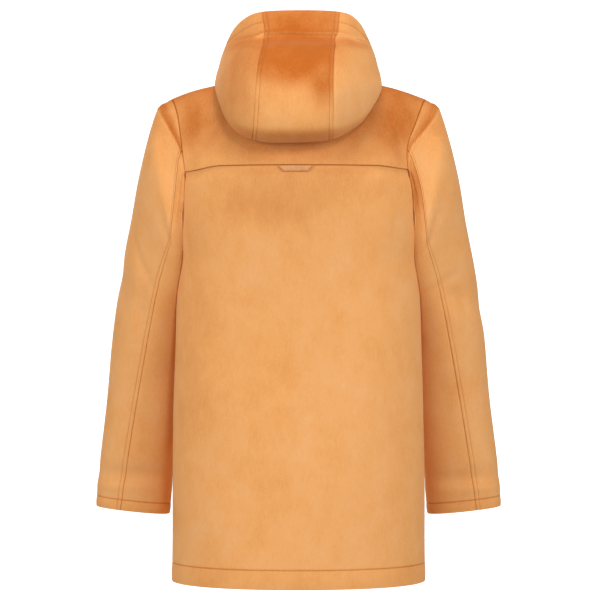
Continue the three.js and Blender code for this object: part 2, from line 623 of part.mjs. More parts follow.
// Hood: profiles between the stations, from the neck seam to the rim
function hoodPoint(step, station) {
  const reach = Math.abs(station);
  const keys = HOOD_STATIONS.map((row) => row.at);
  const corner = (name) => {
    const values = HOOD_STATIONS.map((row) => row.points[name]);
    // The middle of the back is level from side to side, so its row stands for both neighbours
    const axis = (i) => smooth([-1, ...keys], [i === 0 ? -values[1][0] : values[1][i],
      ...values.map((value) => value[i])], reach);
    return new THREE.Vector3(axis(0), axis(1), axis(2));
  };
  const neck = neckline(smooth(keys, HOOD_STATIONS.map((row) => row.neck), reach));
  neck.z += NECK_SEAM_LIFT;
  const profile = [neck, ...HOOD_PROFILE.map(corner)];
  const point = smoothPoint(profile.map((_, i) => i), profile, step);
  if (station < 0) point.x = -point.x;
  return point;
}

const gussetStations = [1, 0.5, 0, -0.5, -1];
const hoodStations = [...HOOD_SIDE_STATIONS.slice(1).reverse(), ...gussetStations,
  ...HOOD_SIDE_STATIONS.slice(1).map((station) => -station)];
const hood = panel(HOOD_STEPS, hoodStations, hoodPoint);
hood.points.forEach((row, r) => row.forEach((point, c) => {
  const fade = 1 - easeBetween(2.2, 4, Math.abs(hoodStations[c]));
  const off = (HOOD_STEPS[r] - HOOD_PINCH.step) / HOOD_PINCH.long;
  point.addScaledVector(hood.normals[r][c], -HOOD_PINCH.deep * fade * Math.exp(-(off ** 2)));
}));
hood.normals = gridNormals(hood.points);

const hoodColumns = (from, to) => {
  const pick = (grid) => grid.map((row) => row.slice(from, to + 1).map((v) => v.clone()));
  return { points: pick(hood.points), normals: pick(hood.normals) };
};
const leftSeam = HOOD_SIDE_STATIONS.length - 1;
const rightSeam = leftSeam + gussetStations.length - 1;
const hoodLeft = hoodColumns(0, leftSeam);
const hoodCentre = hoodColumns(leftSeam, rightSeam);
const hoodRight = hoodColumns(rightSeam, hoodStations.length - 1);
drawBack(columnEdge(hoodLeft, lastColumn(hoodLeft)), half, 0, -1);
drawBack(columnEdge(hoodCentre, 0), half, 0, 1);
drawBack(columnEdge(hoodCentre, lastColumn(hoodCentre)), half, 0, -1);
drawBack(columnEdge(hoodRight, 0), half, 0, 1);

// Hanger loop: a strip on the back panel just below the yoke's edge
function hangerPoint(rise, across) {
  const halfWidth = mix(HANGER.bottomHalf, HANGER.topHalf, rise);
  const x = HANGER.middle - halfWidth * across;
  const z = YOKE_LINE - HANGER.below - HANGER.tall * (1 - rise);
  return insetTorso(z, 180 - frontTurn(z, x), HANGER.seat - HANGER.thick);
}
const hanger = panel([0, 0.5, 1], [-1, -0.6, -0.2, 0.2, 0.6, 1], hangerPoint);

// Toggle fastenings: places on the fronts by x and height, lifted off the facets of the cloth
function onFront(x, z, lift) {
  const onRight = x < -FRONT_LAP - LAP_EASE * 0.8;
  const mirror = x < -FRONT_LAP && !onRight ? -1 : 1;
  const { points, normals } = onRight ? frontRight : frontLeft;
  const flat = (point) => new THREE.Vector3(point.x, point.z, 0);
  const target = new THREE.Vector3(mirror * x, z, 0);
  for (let r = 0; r < points.length - 1; r += 1) {
    for (let c = 0; c < points[0].length - 1; c += 1) {
      const corners = [[r, c], [r, c + 1], [r + 1, c + 1], [r + 1, c]];
      for (const picks of [[0, 1, 2], [0, 2, 3]]) {
        const places = picks.map((i) => corners[i]);
        const facet = new THREE.Triangle(...places.map(([i, j]) => flat(points[i][j])));
        const share = facet.getBarycoord(target, new THREE.Vector3());
        if (share && Math.min(share.x, share.y, share.z) >= -1e-9) {
          const blend = (grid) => places.reduce((sum, [i, j], k) => sum.addScaledVector(grid[i][j],
            share.getComponent(k)), new THREE.Vector3());
          const point = blend(points).addScaledVector(blend(normals).normalize(), lift);
          return new THREE.Vector3(mirror * point.x, point.y, point.z);
        }
      }
    }
  }
  throw new Error(`no place on the front at ${x}, ${z}`);
}

function patch(z, side) {
  const shares = Array.from({ length: PATCH.columns + 1 }, (_, i) => i / PATCH.columns);
  const columns = shares.map((share) => side > 0
    ? mix(PATCH.inner, PATCH.outer, share) : mix(-PATCH.outer, -PATCH.inner, share));
  const rows = [-1, -0.5, 0, 0.5, 1].map((share) => z + share * PATCH.half);
  const piece = panel(rows, columns, (height, x) => onFront(x, height, PATCH.gap + PATCH.thick));
  piece.normals = piece.points.map((row, r) => row.map((point, c) => point.clone()
    .sub(onFront(columns[c], rows[r], PATCH.gap)).normalize()));
  return piece;
}

function cord(points) {
  const section = new THREE.Shape();
  section.absarc(0, 0, CORD.radius, 0, 2 * Math.PI);
  const extrudePath = new THREE.CatmullRomCurve3(points, false, "centripetal");
  return new THREE.ExtrudeGeometry(section,
    { steps: CORD.steps, curveSegments: CORD.sides / 4, bevelEnabled: false, extrudePath });
}

function toggleCord(z) {
  const edge = -PATCH.inner + 0.4;
  return cord([
    onFront(edge, z, CORD_LIFT), onFront(edge * 0.66, z, CORD_LIFT), onFront(edge * 0.33, z, CORD_LIFT),
    onFront(-5, z, CORD_LIFT), onFront(-1.2, z, CORD_LIFT + 1.4), onFront(0, z, CORD_LIFT + 3.6),
    onFront(0, z, TOGGLE.bottom - 0.4),
  ]);
}

function toggleLoop(z) {
  const edge = PATCH.inner - 0.4;
  const strand = (side) => {
    const height = z + side * CORD.loopHalf;
    return [
      onFront(edge, height, CORD_LIFT), onFront(edge * 0.6, height, CORD_LIFT),
      onFront(12, height, CORD_LIFT + 1), onFront(0, height, LOOP_RISE - 0.4),
    ];
  };
  const bend = [-45, 0, 45].map((turn) => onFront(-4 - CORD.loopHalf * Math.cos(radians(turn)),
    z - CORD.loopHalf * Math.sin(radians(turn)) * 1.2, LOOP_RISE));
  return cord([...strand(1), ...bend, ...strand(-1).reverse()]);
}

function toggle(z) {
  const profile = [
    [0, -TOGGLE.half], [TOGGLE.end * 0.8, -TOGGLE.half], [TOGGLE.end, -TOGGLE.half + 1.5],
    [TOGGLE.belly * 0.9, -TOGGLE.half * 0.8], [TOGGLE.belly, -TOGGLE.half * 0.62],
    [TOGGLE.waist, -TOGGLE.groove], [TOGGLE.waist, TOGGLE.groove],
    [TOGGLE.belly, TOGGLE.half * 0.62], [TOGGLE.belly * 0.9, TOGGLE.half * 0.8],
    [TOGGLE.end, TOGGLE.half - 1.5], [TOGGLE.end * 0.8, TOGGLE.half], [0, TOGGLE.half],
  ].map(([radius, length]) => new THREE.Vector2(radius, length));
  const geometry = new THREE.LatheGeometry(profile, 12);
  geometry.rotateZ(-Math.PI / 2);
  const seat = onFront(0, z, TOGGLE.bottom + TOGGLE.waist);
  geometry.translate(seat.x, seat.y, seat.z);
  return geometry;
}

// The coat
const coat = new THREE.Group();
function add(name, geometry, material) {
  const mesh = new THREE.Mesh(geometry, material);
  mesh.name = name;
  coat.add(mesh);
}

add("back_panel", wall(back, CLOTH), WOOL);
add("yoke", wall(yoke, CLOTH), WOOL);
add("front_left", wall(frontLeft, CLOTH), WOOL);
add("front_right", wall(frontRight, CLOTH), WOOL);
for (const name of ["left", "right"]) {
  add(`sleeve_${name}_upper`, wall(sleeves[name].upper, CLOTH), WOOL);
  add(`sleeve_${name}_under`, wall(sleeves[name].under, CLOTH), WOOL);
}
add("hood_left", wall(hoodLeft, CLOTH), WOOL);
add("hood_centre", wall(hoodCentre, CLOTH), WOOL);
add("hood_right", wall(hoodRight, CLOTH), WOOL);
add("hanger_loop", wall(hanger, HANGER.thick), LEATHER);
TOGGLE_HEIGHTS.forEach((z, i) => {
  add(`toggle_patch_${i + 1}`, wall(patch(z, -1), PATCH.thick), LEATHER);
  add(`loop_patch_${i + 1}`, wall(patch(z, 1), PATCH.thick), LEATHER);
  add(`toggle_cord_${i + 1}`, toggleCord(z), LEATHER);
  add(`toggle_loop_${i + 1}`, toggleLoop(z), LEATHER);
  add(`toggle_${i + 1}`, toggle(z), HORN);
});

export default coat;
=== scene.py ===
"""A duffle coat of brushed wool, seen from behind, with its hood down.

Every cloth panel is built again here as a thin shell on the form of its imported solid, with rounded
edges, hems, seam lines and topstitching. Shapes are worked out in millimetres and scaled once.
"""

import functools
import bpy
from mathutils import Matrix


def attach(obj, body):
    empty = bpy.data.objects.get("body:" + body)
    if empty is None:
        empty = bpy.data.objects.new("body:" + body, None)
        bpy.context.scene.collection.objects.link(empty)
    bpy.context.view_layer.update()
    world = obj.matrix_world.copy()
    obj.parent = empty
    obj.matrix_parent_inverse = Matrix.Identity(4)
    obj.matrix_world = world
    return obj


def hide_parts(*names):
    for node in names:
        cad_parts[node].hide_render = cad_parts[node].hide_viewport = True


bl_info = {
    "name": "Duffle coat",
    "version": (1, 0, 0),
    "blender": (4, 5, 0),
    "location": "3D View > Sidebar > Coat",
    "description": "Dresses a packed duffle coat with brushed wool, stitching, toggles and a studio",
    "category": "Object",
}

import bpy
import numpy as np
from mathutils import Vector
from mathutils.bvhtree import BVHTree

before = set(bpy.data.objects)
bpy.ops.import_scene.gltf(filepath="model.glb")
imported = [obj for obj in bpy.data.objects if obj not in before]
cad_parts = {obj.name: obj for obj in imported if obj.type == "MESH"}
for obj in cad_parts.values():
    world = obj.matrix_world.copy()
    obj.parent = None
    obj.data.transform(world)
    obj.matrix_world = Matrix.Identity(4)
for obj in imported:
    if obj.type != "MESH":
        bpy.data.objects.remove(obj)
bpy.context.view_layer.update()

MM = 0.001

# ---------------------------------------------------------------- sizes of the coat, in millimetres

# Thickness of the cloth, and the gap between sleeve and body at the armhole
CLOTH, ARMHOLE_GAP = 2.8, 0.1
# The back runs on under the yoke's edge: gap between them, width of the hidden strip, height over
# which the back sinks in to it, and how much further the back and its strip run at the corners
LAP_GAP, LAP_WIDTH, LAP_FADE = 0.6, 11, 20
CORNER_RUN, STRIP_STRETCH = 0.03, 1.015

# Heights of the hem, the underarm, the chest and the yoke's lower edge
HEM, UNDERARM, CHEST, YOKE_LINE = -799, -285, -205, -143
# How square the ovals of the body are, where 2 is an ellipse
ROUNDNESS = 2.2
# Each front reaches this far past the middle, and the right one sinks in over the second distance
FRONT_LAP, LAP_EASE = 32, 26

# Half width and depths of the body at each height
BODY_SECTIONS = {
    "z": [-799, -771, -656, -512, -432, -352, -304, -285, -240, -205, -143, -120],
    "side": [203, 202.5, 201, 199.5, 197, 194.5, 190, 189, 196, 200, 202, 202],
    "back": [133, 132, 126, 117, 112, 110, 112, 113, 115.5, 117, 118, 116],
    "front": [135, 134, 131, 127, 124, 123, 124, 124, 124, 122, 112, 104],
}
# How far round from the middle of the back the armhole lies, in degrees
ARMHOLE = {
    "z": [-285, -270, -240, -205, -143, -120],
    "round": [90, 77, 68, 63.5, 61, 60.5],
}

# Neck opening: half width, middle, depths and drops to the back and front, and how the front drop bends
NECK_SIDE, NECK_MIDDLE, NECK_BACK, NECK_FRONT = 83, 3, 65, 80
NECK_BACK_DROP, NECK_FRONT_DROP, NECK_FRONT_BEND = 13, 74, 1.4
NECK_AT_FRONT_SEAM = 118
# The front's upper edge in equal steps: the first few lie on the neckline, the rest on the yoke seam
FRONT_TOP_STEPS, FRONT_NECK_STEPS = 9, 3
# Directions in which the fronts leave the chest and reach their upper edge, at the lap and the armhole
FRONT_LEAVE = np.array([[0, 6, 130], [0, 3, 120]])
FRONT_ARRIVE = np.array([[0, 100, 95], [10, 45, 105]])

# Armhole above the yoke line, from the front yoke seam over the shoulder to the back
SHOULDER_EDGE = {
    "x": [192, 199, 204, 199, 192, 187, 183],
    "y": [-38, -20, 0, 18, 34, 47, 56],
    "z": [-62, -43, -31, -37, -58, -86, -114],
}
# Steps of the yoke's outer edge over the shoulder, and from there to the middle of the back
SHOULDER_STEPS, BACK_STEPS = 7, 8
YOKE_HALF = SHOULDER_STEPS + BACK_STEPS

# Ribs of the yoke: where each leaves the neck, and its directions there and at its outer end
YOKE_RIBS = {
    "step": [0, 2, 4, 7, 11, 15],
    "neck": [118, 88, 66, 42, 20, 0],
    "out": [[119, -12, -22], [121, -3, -22], [130, 14, -24], [140, 34, -46], [58, 66, -72],
            [0, 80, -82]],
    "end": [[105, 5, -60], [115, -2, -44], [88, 10, -92], [18, 8, -150], [6, 10, -140],
            [0, 10, -135]],
}
# The yoke's lower edge droops this far towards its two corners, between two distances from the middle
YOKE_DROOP_FROM, YOKE_DROOP_TO, YOKE_DROOP_LEFT, YOKE_DROOP_RIGHT = 120, 182, 8, 4

# Sleeves: ovals between an outer and an inner point, and the turn of the seam down the back
SLEEVE_SECTIONS = {
    "along": [2, 3, 4, 5, 6, 7, 8, 9],
    "outer_x": [238, 257, 270, 286, 301, 313, 328, 333],
    "outer_z": [-84, -157, -225, -302, -400, -512, -632, -690],
    "inner_x": [184, 183, 184, 185, 187, 193, 206, 212],
    "inner_z": [-297, -318, -350, -387, -440, -530, -640, -703],
    "y": [-4, -15, -30, -46, -64, -82, -95, -100],
    "depth": [64, 63, 60, 58, 56, 52, 46, 43],
    "seam": [106, 107, 102, 97, 91, 83, 78, 75],
}
# Sleeve head: how far its ridge lies from the armhole at the top and under the arm, how far round
# the top reaches, which way it leaves the seam, and the height and depth of its ridge and valley
HEAD_TOP, HEAD_LOW, HEAD_SPREAD = 19, 7, 0.25
HEAD_OUT_TOP, HEAD_OUT_LOW, HEAD_DROP_TOP, HEAD_DROP_LOW = 1, 0.5, 0.58, 0.9
HEAD_RISE, HEAD_VALLEY, HEAD_VALLEY_FRONT = 0.4, 0.3, 0.4
# Two creases lie round the sleeve head. Each starts this far out from the seam over the shoulder
# and meets the seam at this turn of the armhole, in degrees.
HEAD_CREASES = {"outer": (27, 76), "inner": (13, 60)}
# How much painted shade darkens the band between them
HEAD_BAND_SHADE = {"left": 0.6, "right": 0.4}
# The creases start below this turn and fade between two others. Height and width of the fold along
# each, and depth of the hollow between them.
HEAD_CREASE_START, HEAD_CREASE_FADE = 18, (66, 77)
HEAD_FOLDS, HEAD_HOLLOW = {"outer": (1.3, 2.0), "inner": (0.8, 1.8)}, 1.3
# The back sleeve seam leaves the armhole steeply: its columns slide this many degrees round, and
# the ones beside it less over the second number
SEAM_SLIDE, SEAM_SPREAD = 8, 28
# The inside of the sleeve is pressed this far towards the body, round this turn and its spread
TUCK, TUCK_TURN, TUCK_SPREAD = 9, 150, 60
# Rounds of smoothing of the cloth that is gathered below the back of the armhole
CALM_ROUNDS = 120
# Sleeve seams: step of the yoke's edge where the back one starts, its turn for the folds' places,
# turn of the front one, and how far between the two the inside of the arm lies
BACK_SEAM_STEP, ELBOW_SEAM, FRONT_SEAM_TURN, INNER_SHARE = 6, 91, 232, 0.55
# How square the ovals of the sleeve are, and the gap it keeps to the body. The gap grows over the
# second distance below the underarm, and is kept from the third distance above it.
SLEEVE_ROUNDNESS = 2.15
SLEEVE_CLEARANCE, SLEEVE_EASE, UNDERARM_REACH = 0.5, 50, 12
# The sleeve takes the body's normals at the armhole where the cosine between them is above this
TURNED_BACK = 0.35

# Soft folds of each sleeve: place along it and round it, depth, half lengths both ways, and slant
SLEEVE_FOLDS = {
    "left": [
        (8.0, 95, 4.2, 0.15, 75, 0),
        (8.3, 60, -1.2, 0.12, 60, 0),
        (5.2, 20, 3, 0.3, 45, 0.006),
        (5.9, 210, 3.5, 0.3, 60, -0.004),
        (5.35, 74, 3.2, 0.42, 9, 0.004),
        (5.0, 60, -1.6, 0.5, 14, 0.004),
        (4.5, 62, 1.8, 0.16, 30, 0.01),
        (6.55, 120, 1.8, 0.2, 40, -0.005),
        (2.6, 74, 1.6, 0.3, 16, 0.012),
    ],
    "right": [
        (8.05, 100, 3.8, 0.15, 75, 0),
        (8.35, 70, -1.2, 0.12, 60, 0),
        (5.4, 35, 4, 0.28, 50, -0.008),
        (6.1, 205, 3.5, 0.3, 60, 0.004),
        (5.35, 62, 3.4, 0.3, 13, -0.02),
        (5.7, 76, -1.8, 0.35, 16, -0.02),
        (4.7, 75, 1.8, 0.15, 32, -0.006),
        (6.9, 110, 1.7, 0.2, 40, 0.005),
        (2.9, 80, 1.5, 0.3, 18, 0.012),
    ],
}

# Hood: one profile for each station round the neck, from under the pouch to the rim
HOOD_STATIONS = {
    "neck": [0, 44, 62, 82, 104, 126, 150, 174],
    "over": [[0, 84, -2], [62, 63, 1], [80, 44, 3], [91, 20, 6], [89, -8, 1], [77, -40, -23],
             [49, -71, -53], [11, -84, -72]],
    "under": [[0, 107, -46], [62, 97, -42], [92, 74, -18], [107, 36, 4], [102, 2, 2], [87, -38, -15],
              [54, -76, -48], [12, -88, -69]],
    "low": [[0, 118.5, -106], [62, 111.5, -100.5], [101, 91.5, -73], [122, 60, -26], [117, 10, 1],
            [97, -36, -9], [59, -80, -43], [13, -91, -66]],
    "bulge": [[0, 179, -97.5], [61, 167, -92.5], [106, 122, -68], [130, 66, -23], [125, 13, 3],
              [104, -35, -4], [63, -83, -38], [14, -94, -63]],
    "out": [[0, 188, -45], [60, 176, -42], [107, 126, -30], [128, 68, -9], [127, 15, 10],
            [108, -34, 2], [66, -85, -33], [15, -96, -59]],
    "high": [[0, 174, 0], [59, 165, 1], [101, 121, 6], [123, 67, 10], [125, 15, 19], [108, -34, 9],
             [68, -85, -27], [16, -97, -55]],
    "fold": [[0, 146, 37], [57, 142, 36], [94, 110, 36], [118, 64, 33], [121, 13, 31], [106, -35, 17],
             [69, -84, -20], [17, -98, -50]],
    "pinch": [[0, 116, 57], [56, 113, 56], [87, 93, 55], [112, 56, 52], [116, 9, 42], [102, -37, 25],
              [68, -82, -12], [18, -98, -45]],
    "rim": [[0, 94, 100], [61, 90, 98], [88, 74, 89], [106, 44, 71], [109, 2, 54], [96, -41, 33],
            [65, -80, -3], [19, -98, -39]],
}
HOOD_PROFILE = ["over", "under", "low", "bulge", "out", "high", "fold", "pinch", "rim"]
# Last station of the hood, and how far its neck seam lies above the neckline
HOOD_END_STATION, NECK_SEAM_LIFT = 7, 0.5

# Hanger loop: middle, half widths at its top and bottom, height, thickness, distance below the
# yoke line and gap to the back
HANGER_MIDDLE, HANGER_TOP, HANGER_BOTTOM, HANGER_TALL = 4.5, 26, 19, 9
HANGER_THICK, HANGER_BELOW, HANGER_GAP = 1.8, 0.5, 0.2

# Heights of the fastenings
TOGGLE_HEIGHTS = [-165, -285, -405, -525]
# Patches: inner and outer end across the front, half height, thickness and gap to the cloth, then
# the radius of their corners and the distance of their stitches from the edge
PATCH_INNER, PATCH_OUTER, PATCH_HALF, PATCH_THICK, PATCH_GAP = 54, 98, 17, 1.8, 0.4
PATCH_CORNER, PATCH_STITCH = 5, 3
# Radius of a cord, half the distance between a loop's two sides, and lift of its bend off the cloth
CORD_RADIUS, LOOP_HALF, LOOP_RISE = 2.0, 5, 6.8
# Paths of a toggle's cord and of one side of its loop, from the patch in: x and lift off the cloth
CORD_PATH = [(-53.6, 2.4), (-35.376, 2.4), (-17.688, 2.4), (-5, 2.4), (-1.2, 3.8), (0, 6), (0, 9)]
LOOP_PATH = [(53.6, 2.4), (32.16, 2.4), (12, 3.4), (0, 6.4)]
# Radius of a toggle at places along it, from its middle to its end
TOGGLE_PROFILE = {
    "along": [0, 11, 13.5, 16.7, 19.5, 21.6, 24, 25.6, 26.6, 27],
    "radius": [5.4, 5.4, 6.5, 7.6, 7.5, 6.9, 5.9, 5.0, 3.6, 0],
}
# Distance of a toggle's axis from the cloth
TOGGLE_SEAT = 14.8

# ---------------------------------------------------------------- curves and grids


def mix(low, high, share):
    """The value a share of the way from one to the other."""
    return low + (high - low) * share


def ease(low, high, value):
    """0 at low, 1 at high, with soft ends."""
    share = np.clip((np.asarray(value, float) - low) / (high - low), 0, 1)
    return share * share * (3 - 2 * share)


def bump(value, width):
    """1 at zero, fading softly over about the width on both sides."""
    return np.exp(-((value / width) ** 2))


def place(x, y, z):
    """Points from three arrays or numbers."""
    return np.stack(np.broadcast_arrays(x, y, z), axis=-1).astype(float)


def soft_power(value, power):
    """Power of a size that keeps its sign."""
    return np.sign(value) * np.abs(value) ** power


def hermite(start, leave, end, arrive, s):
    """Curve from start (s = 0) to end (s = 1), leaving and arriving along two directions."""
    return (
        (2 * s**3 - 3 * s**2 + 1) * start
        + (s**3 - 2 * s**2 + s) * leave
        + (3 * s**2 - 2 * s**3) * end
        + (s**3 - s**2) * arrive
    )


def smooth(keys, values, at):
    """Smooth curve through values at rising keys, straight on past both ends."""
    keys, values, at = (np.asarray(item, float) for item in (keys, values, at))
    last = len(keys) - 1
    numbers = np.arange(last + 1)
    before, after = np.maximum(numbers - 1, 0), np.minimum(numbers + 1, last)
    more = (None,) * (values.ndim - 1)
    slope = (values[after] - values[before]) / (keys[after] - keys[before])[(..., *more)]
    i = np.clip(np.searchsorted(keys, at) - 1, 0, last - 1)
    width = (keys[i + 1] - keys[i])[(..., *more)]
    s = np.clip((at - keys[i])[(..., *more)] / width, 0, 1)
    past = (at - np.clip(at, keys[0], keys[last]))[(..., *more)]
    value = hermite(values[i], width * slope[i], values[i + 1], width * slope[i + 1], s)
    return value + past * np.where(past < 0, slope[0], slope[last])


def sweep(start, leave, end, arrive, s):
    """The same curve between two points, for an array of shares of the way."""
    return hermite(start, leave, end, arrive, np.asarray(s, float)[..., None])


def unit(vectors):
    """Vectors of length 1 in the same directions."""
    return vectors / np.maximum(np.linalg.norm(vectors, axis=-1, keepdims=True), 1e-9)


def grid_normals(points, closed=False):
    """Outward normals of a grid whose rows go up and columns anticlockwise from above."""
    wide = np.concatenate([points[:, -2:-1], points, points[:, 1:2]], axis=1) if closed else points
    across = np.gradient(wide, axis=1)
    upward = np.gradient(wide, axis=0)
    normals = unit(np.cross(across, upward))
    return normals[:, 1:-1] if closed else normals


def lengths_along(points):
    """Length walked from the first row of some points to each row."""
    steps = np.linalg.norm(np.diff(points, axis=0), axis=-1)
    return np.concatenate([np.zeros((1, *steps.shape[1:])), np.cumsum(steps, axis=0)])


def quads(index):
    """Faces between the rows and columns of a grid of vertex numbers."""
    corners = [index[:-1, :-1], index[:-1, 1:], index[1:, 1:], index[1:, :-1]]
    return np.stack(corners, axis=-1).reshape(-1, 4)


def ring_quads(index):
    """Faces between closed rings of vertex numbers."""
    return quads(np.hstack([index, index[:, :1]]))


def mirrored(grid):
    """The grid of the other side, with its columns the other way round."""
    flipped = grid[:, ::-1]
    return flipped * np.array([-1, 1, 1]) if grid.shape[-1] == 3 else flipped


def spaced(*stops):
    """Numbers from stop to stop, each stretch given as (from, to, count)."""
    parts = [np.linspace(low, high, count, endpoint=False) for low, high, count in stops]
    return np.concatenate([*parts, [stops[-1][1]]])


# ---------------------------------------------------------------- form of the body


def body_width(name, z):
    """Half width (side) or depth (back, front) of the body at a height."""
    return smooth(BODY_SECTIONS["z"], BODY_SECTIONS[name], z)


def torso(z, degrees):
    """Body surface at a height, turned from the middle of the back towards the wearer's left."""
    turn = np.radians(degrees)
    z = np.asarray(z, float)
    depth = np.where(np.cos(turn) > 0, body_width("back", z), body_width("front", z))
    power = 2 / ROUNDNESS
    return place(
        body_width("side", z) * soft_power(np.sin(turn), power),
        depth * soft_power(np.cos(turn), power),
        z,
    )


def inset_torso(z, degrees, inset):
    """Body surface moved inwards by a distance."""
    along = torso(z, degrees + 1) - torso(z, degrees - 1)
    upward = torso(z + 1, degrees) - torso(z - 1, degrees)
    return torso(z, degrees) - unit(np.cross(upward, along)) * np.asarray(inset)[..., None]


def armhole_turn(z):
    """Degrees round from the middle of the back to the side seam or the armhole."""
    return np.where(z <= UNDERARM, 90.0, smooth(ARMHOLE["z"], ARMHOLE["round"], z))


def front_turn(z, x):
    """Degrees round the front half at which the body surface has a given x."""
    turn = np.degrees(np.arcsin(np.abs(x / body_width("side", z)) ** (ROUNDNESS / 2)))
    return 180 - np.sign(x) * turn


def neckline(degrees):
    """Edge of the neck opening, turned from the middle of the back towards the wearer's left."""
    turn = np.radians(degrees)
    back = np.cos(turn)
    depth = np.where(back > 0, NECK_BACK, NECK_FRONT)
    front_drop = NECK_FRONT_DROP * np.abs(back) ** NECK_FRONT_BEND
    drop = np.where(back > 0, NECK_BACK_DROP * back**2, front_drop)
    return place(NECK_SIDE * np.sin(turn), NECK_MIDDLE + depth * back, -drop)


def yoke_line(share):
    """Height and turn of the yoke's lower edge, from the left armhole (1) to the right (-1)."""
    turn = share * armhole_turn(np.array(YOKE_LINE))
    x = torso(YOKE_LINE, turn)[..., 0]
    droop = np.where(x > 0, YOKE_DROOP_LEFT, YOKE_DROOP_RIGHT)
    return YOKE_LINE - droop * ease(YOKE_DROOP_FROM, YOKE_DROOP_TO, np.abs(x)), turn


def yoke_outer(side, step):
    """Outer edge of the yoke: over the shoulder along the armhole, then along its back edge."""
    edge = place(SHOULDER_EDGE["x"], SHOULDER_EDGE["y"], SHOULDER_EDGE["z"])
    extra = (YOKE_DROOP_LEFT - YOKE_DROOP_RIGHT) * 0.5
    steps = np.arange(SHOULDER_STEPS + 1)
    points = torso(*yoke_line(side * (1 - (step - SHOULDER_STEPS) / BACK_STEPS)))
    for sign in (1, -1):
        shoulder = edge * np.array([sign, 1, 1])
        if sign > 0:
            shoulder[:, 2] -= ease(3, SHOULDER_STEPS, steps[:-1]) * extra
        shoulder = np.vstack([shoulder, torso(*yoke_line(np.array(float(sign))))])
        pick = (side == sign) & (step <= SHOULDER_STEPS)
        points[pick] = smooth(steps, shoulder, step[pick])
    return points


def yoke_point(along, column):
    """Yoke from its outer edge (0) to the neck (1), its columns from the left front seam round."""
    column = np.atleast_1d(np.asarray(column, float))
    side = np.where(column <= YOKE_HALF, 1, -1)
    step = np.where(column <= YOKE_HALF, column, 2 * YOKE_HALF - column)
    flip = place(side, 1, 1)
    leave = smooth(YOKE_RIBS["step"], YOKE_RIBS["out"], step) * flip
    arrive = smooth(YOKE_RIBS["step"], YOKE_RIBS["end"], step) * flip
    start = neckline(side * smooth(YOKE_RIBS["step"], YOKE_RIBS["neck"], step))
    return sweep(start, leave, yoke_outer(side, step), arrive, 1 - np.asarray(along, float))


# Columns and rows of the yoke, and rounds of smoothing across its ribs
YOKE_COLUMNS = spaced((0, 7, 56), (7, 23, 100), (23, 30, 56))
YOKE_ALONG = np.linspace(0, 1, 41)
YOKE_ROUNDS = 60


@functools.cache
def yoke_grid():
    """The yoke, eased across the ribs that run to its two corners."""
    grid = yoke_point(YOKE_ALONG[:, None], YOKE_COLUMNS)
    soft = grid
    for _ in range(YOKE_ROUNDS):
        soft = soft.copy()
        soft[:, 1:-1] = 0.25 * soft[:, :-2] + 0.5 * soft[:, 1:-1] + 0.25 * soft[:, 2:]
    corner = np.abs(np.abs(YOKE_COLUMNS - YOKE_HALF) - BACK_STEPS)
    share = (1 - ease(1.2, 3.5, corner)) * ease(0.0, 0.25, YOKE_ALONG[:, None])
    return mix(grid, soft, share[..., None])


def under_yoke(columns, distances):
    """Points under the yoke's lower edge, distances up from it and clear of its inner face."""
    step = 0.01
    edge = yoke_point(np.array([[0.0], [step]]), columns)
    speed = np.linalg.norm(edge[1] - edge[0], axis=-1) / step
    points = yoke_point(distances[:, None] / speed, columns)
    return points - (CLOTH + LAP_GAP) * grid_normals(points)


# Rows of the body up to the chest, the row at the underarm, and how far the back and the fronts
# rise from there to their upper edges. The fronts' columns lie on the lap (0), then out to the side (1).
BODY_ROWS = spaced((HEM, UNDERARM, 86), (UNDERARM, CHEST, 20))
UNDERARM_ROW = 86
BACK_RISES = np.linspace(0, 0.96, 16)[1:]
FRONT_RISES = np.linspace(0, 1, 41)[1:]
FRONT_OUT = np.concatenate([np.zeros(17), np.linspace(0, 1, 46)[1:]])


@functools.cache
def back_grid():
    """Back panel from the hem to the yoke line, with a hidden strip under the yoke's edge."""
    share = np.linspace(1, -1, 101)
    line, line_turn = yoke_line(share)
    z = BODY_ROWS[:, None]
    low = torso(z + 0 * share, share * armhole_turn(z))
    rise = BACK_RISES[:, None]
    high_z = mix(CHEST, line, rise)
    # Near the yoke's corners the back runs on a little, under the edge of the sleeve
    run = 1 + CORNER_RUN * ease(0.82, 0.95, rise)
    high_turn = mix(share * armhole_turn(np.array(CHEST)), line_turn, rise) * run
    high = inset_torso(high_z, high_turn, (CLOTH + LAP_GAP) * ease(line - LAP_FADE, line, high_z))
    tab = under_yoke(SHOULDER_STEPS + (1 - share) * BACK_STEPS, np.linspace(0, LAP_WIDTH, 5))
    tab[..., 0] *= STRIP_STRETCH
    return np.concatenate([low, high, tab])


def front_top(x, out):
    """Upper edge of the front: along the neckline, then along the front yoke seam."""
    lap_turn = 180 - np.degrees(np.arcsin(FRONT_LAP / NECK_SIDE))
    step = out * FRONT_TOP_STEPS
    turn = np.where(
        out > 0,
        mix(lap_turn, NECK_AT_FRONT_SEAM, np.minimum(step / FRONT_NECK_STEPS, 1)),
        180 - np.degrees(np.arcsin(x / NECK_SIDE)),
    )
    beyond = (step - FRONT_NECK_STEPS) / (FRONT_TOP_STEPS - FRONT_NECK_STEPS)
    seam = yoke_point(1 - np.clip(beyond, 0, 1), np.zeros(len(out)))
    return np.where((step > FRONT_NECK_STEPS)[:, None], seam, neckline(turn))


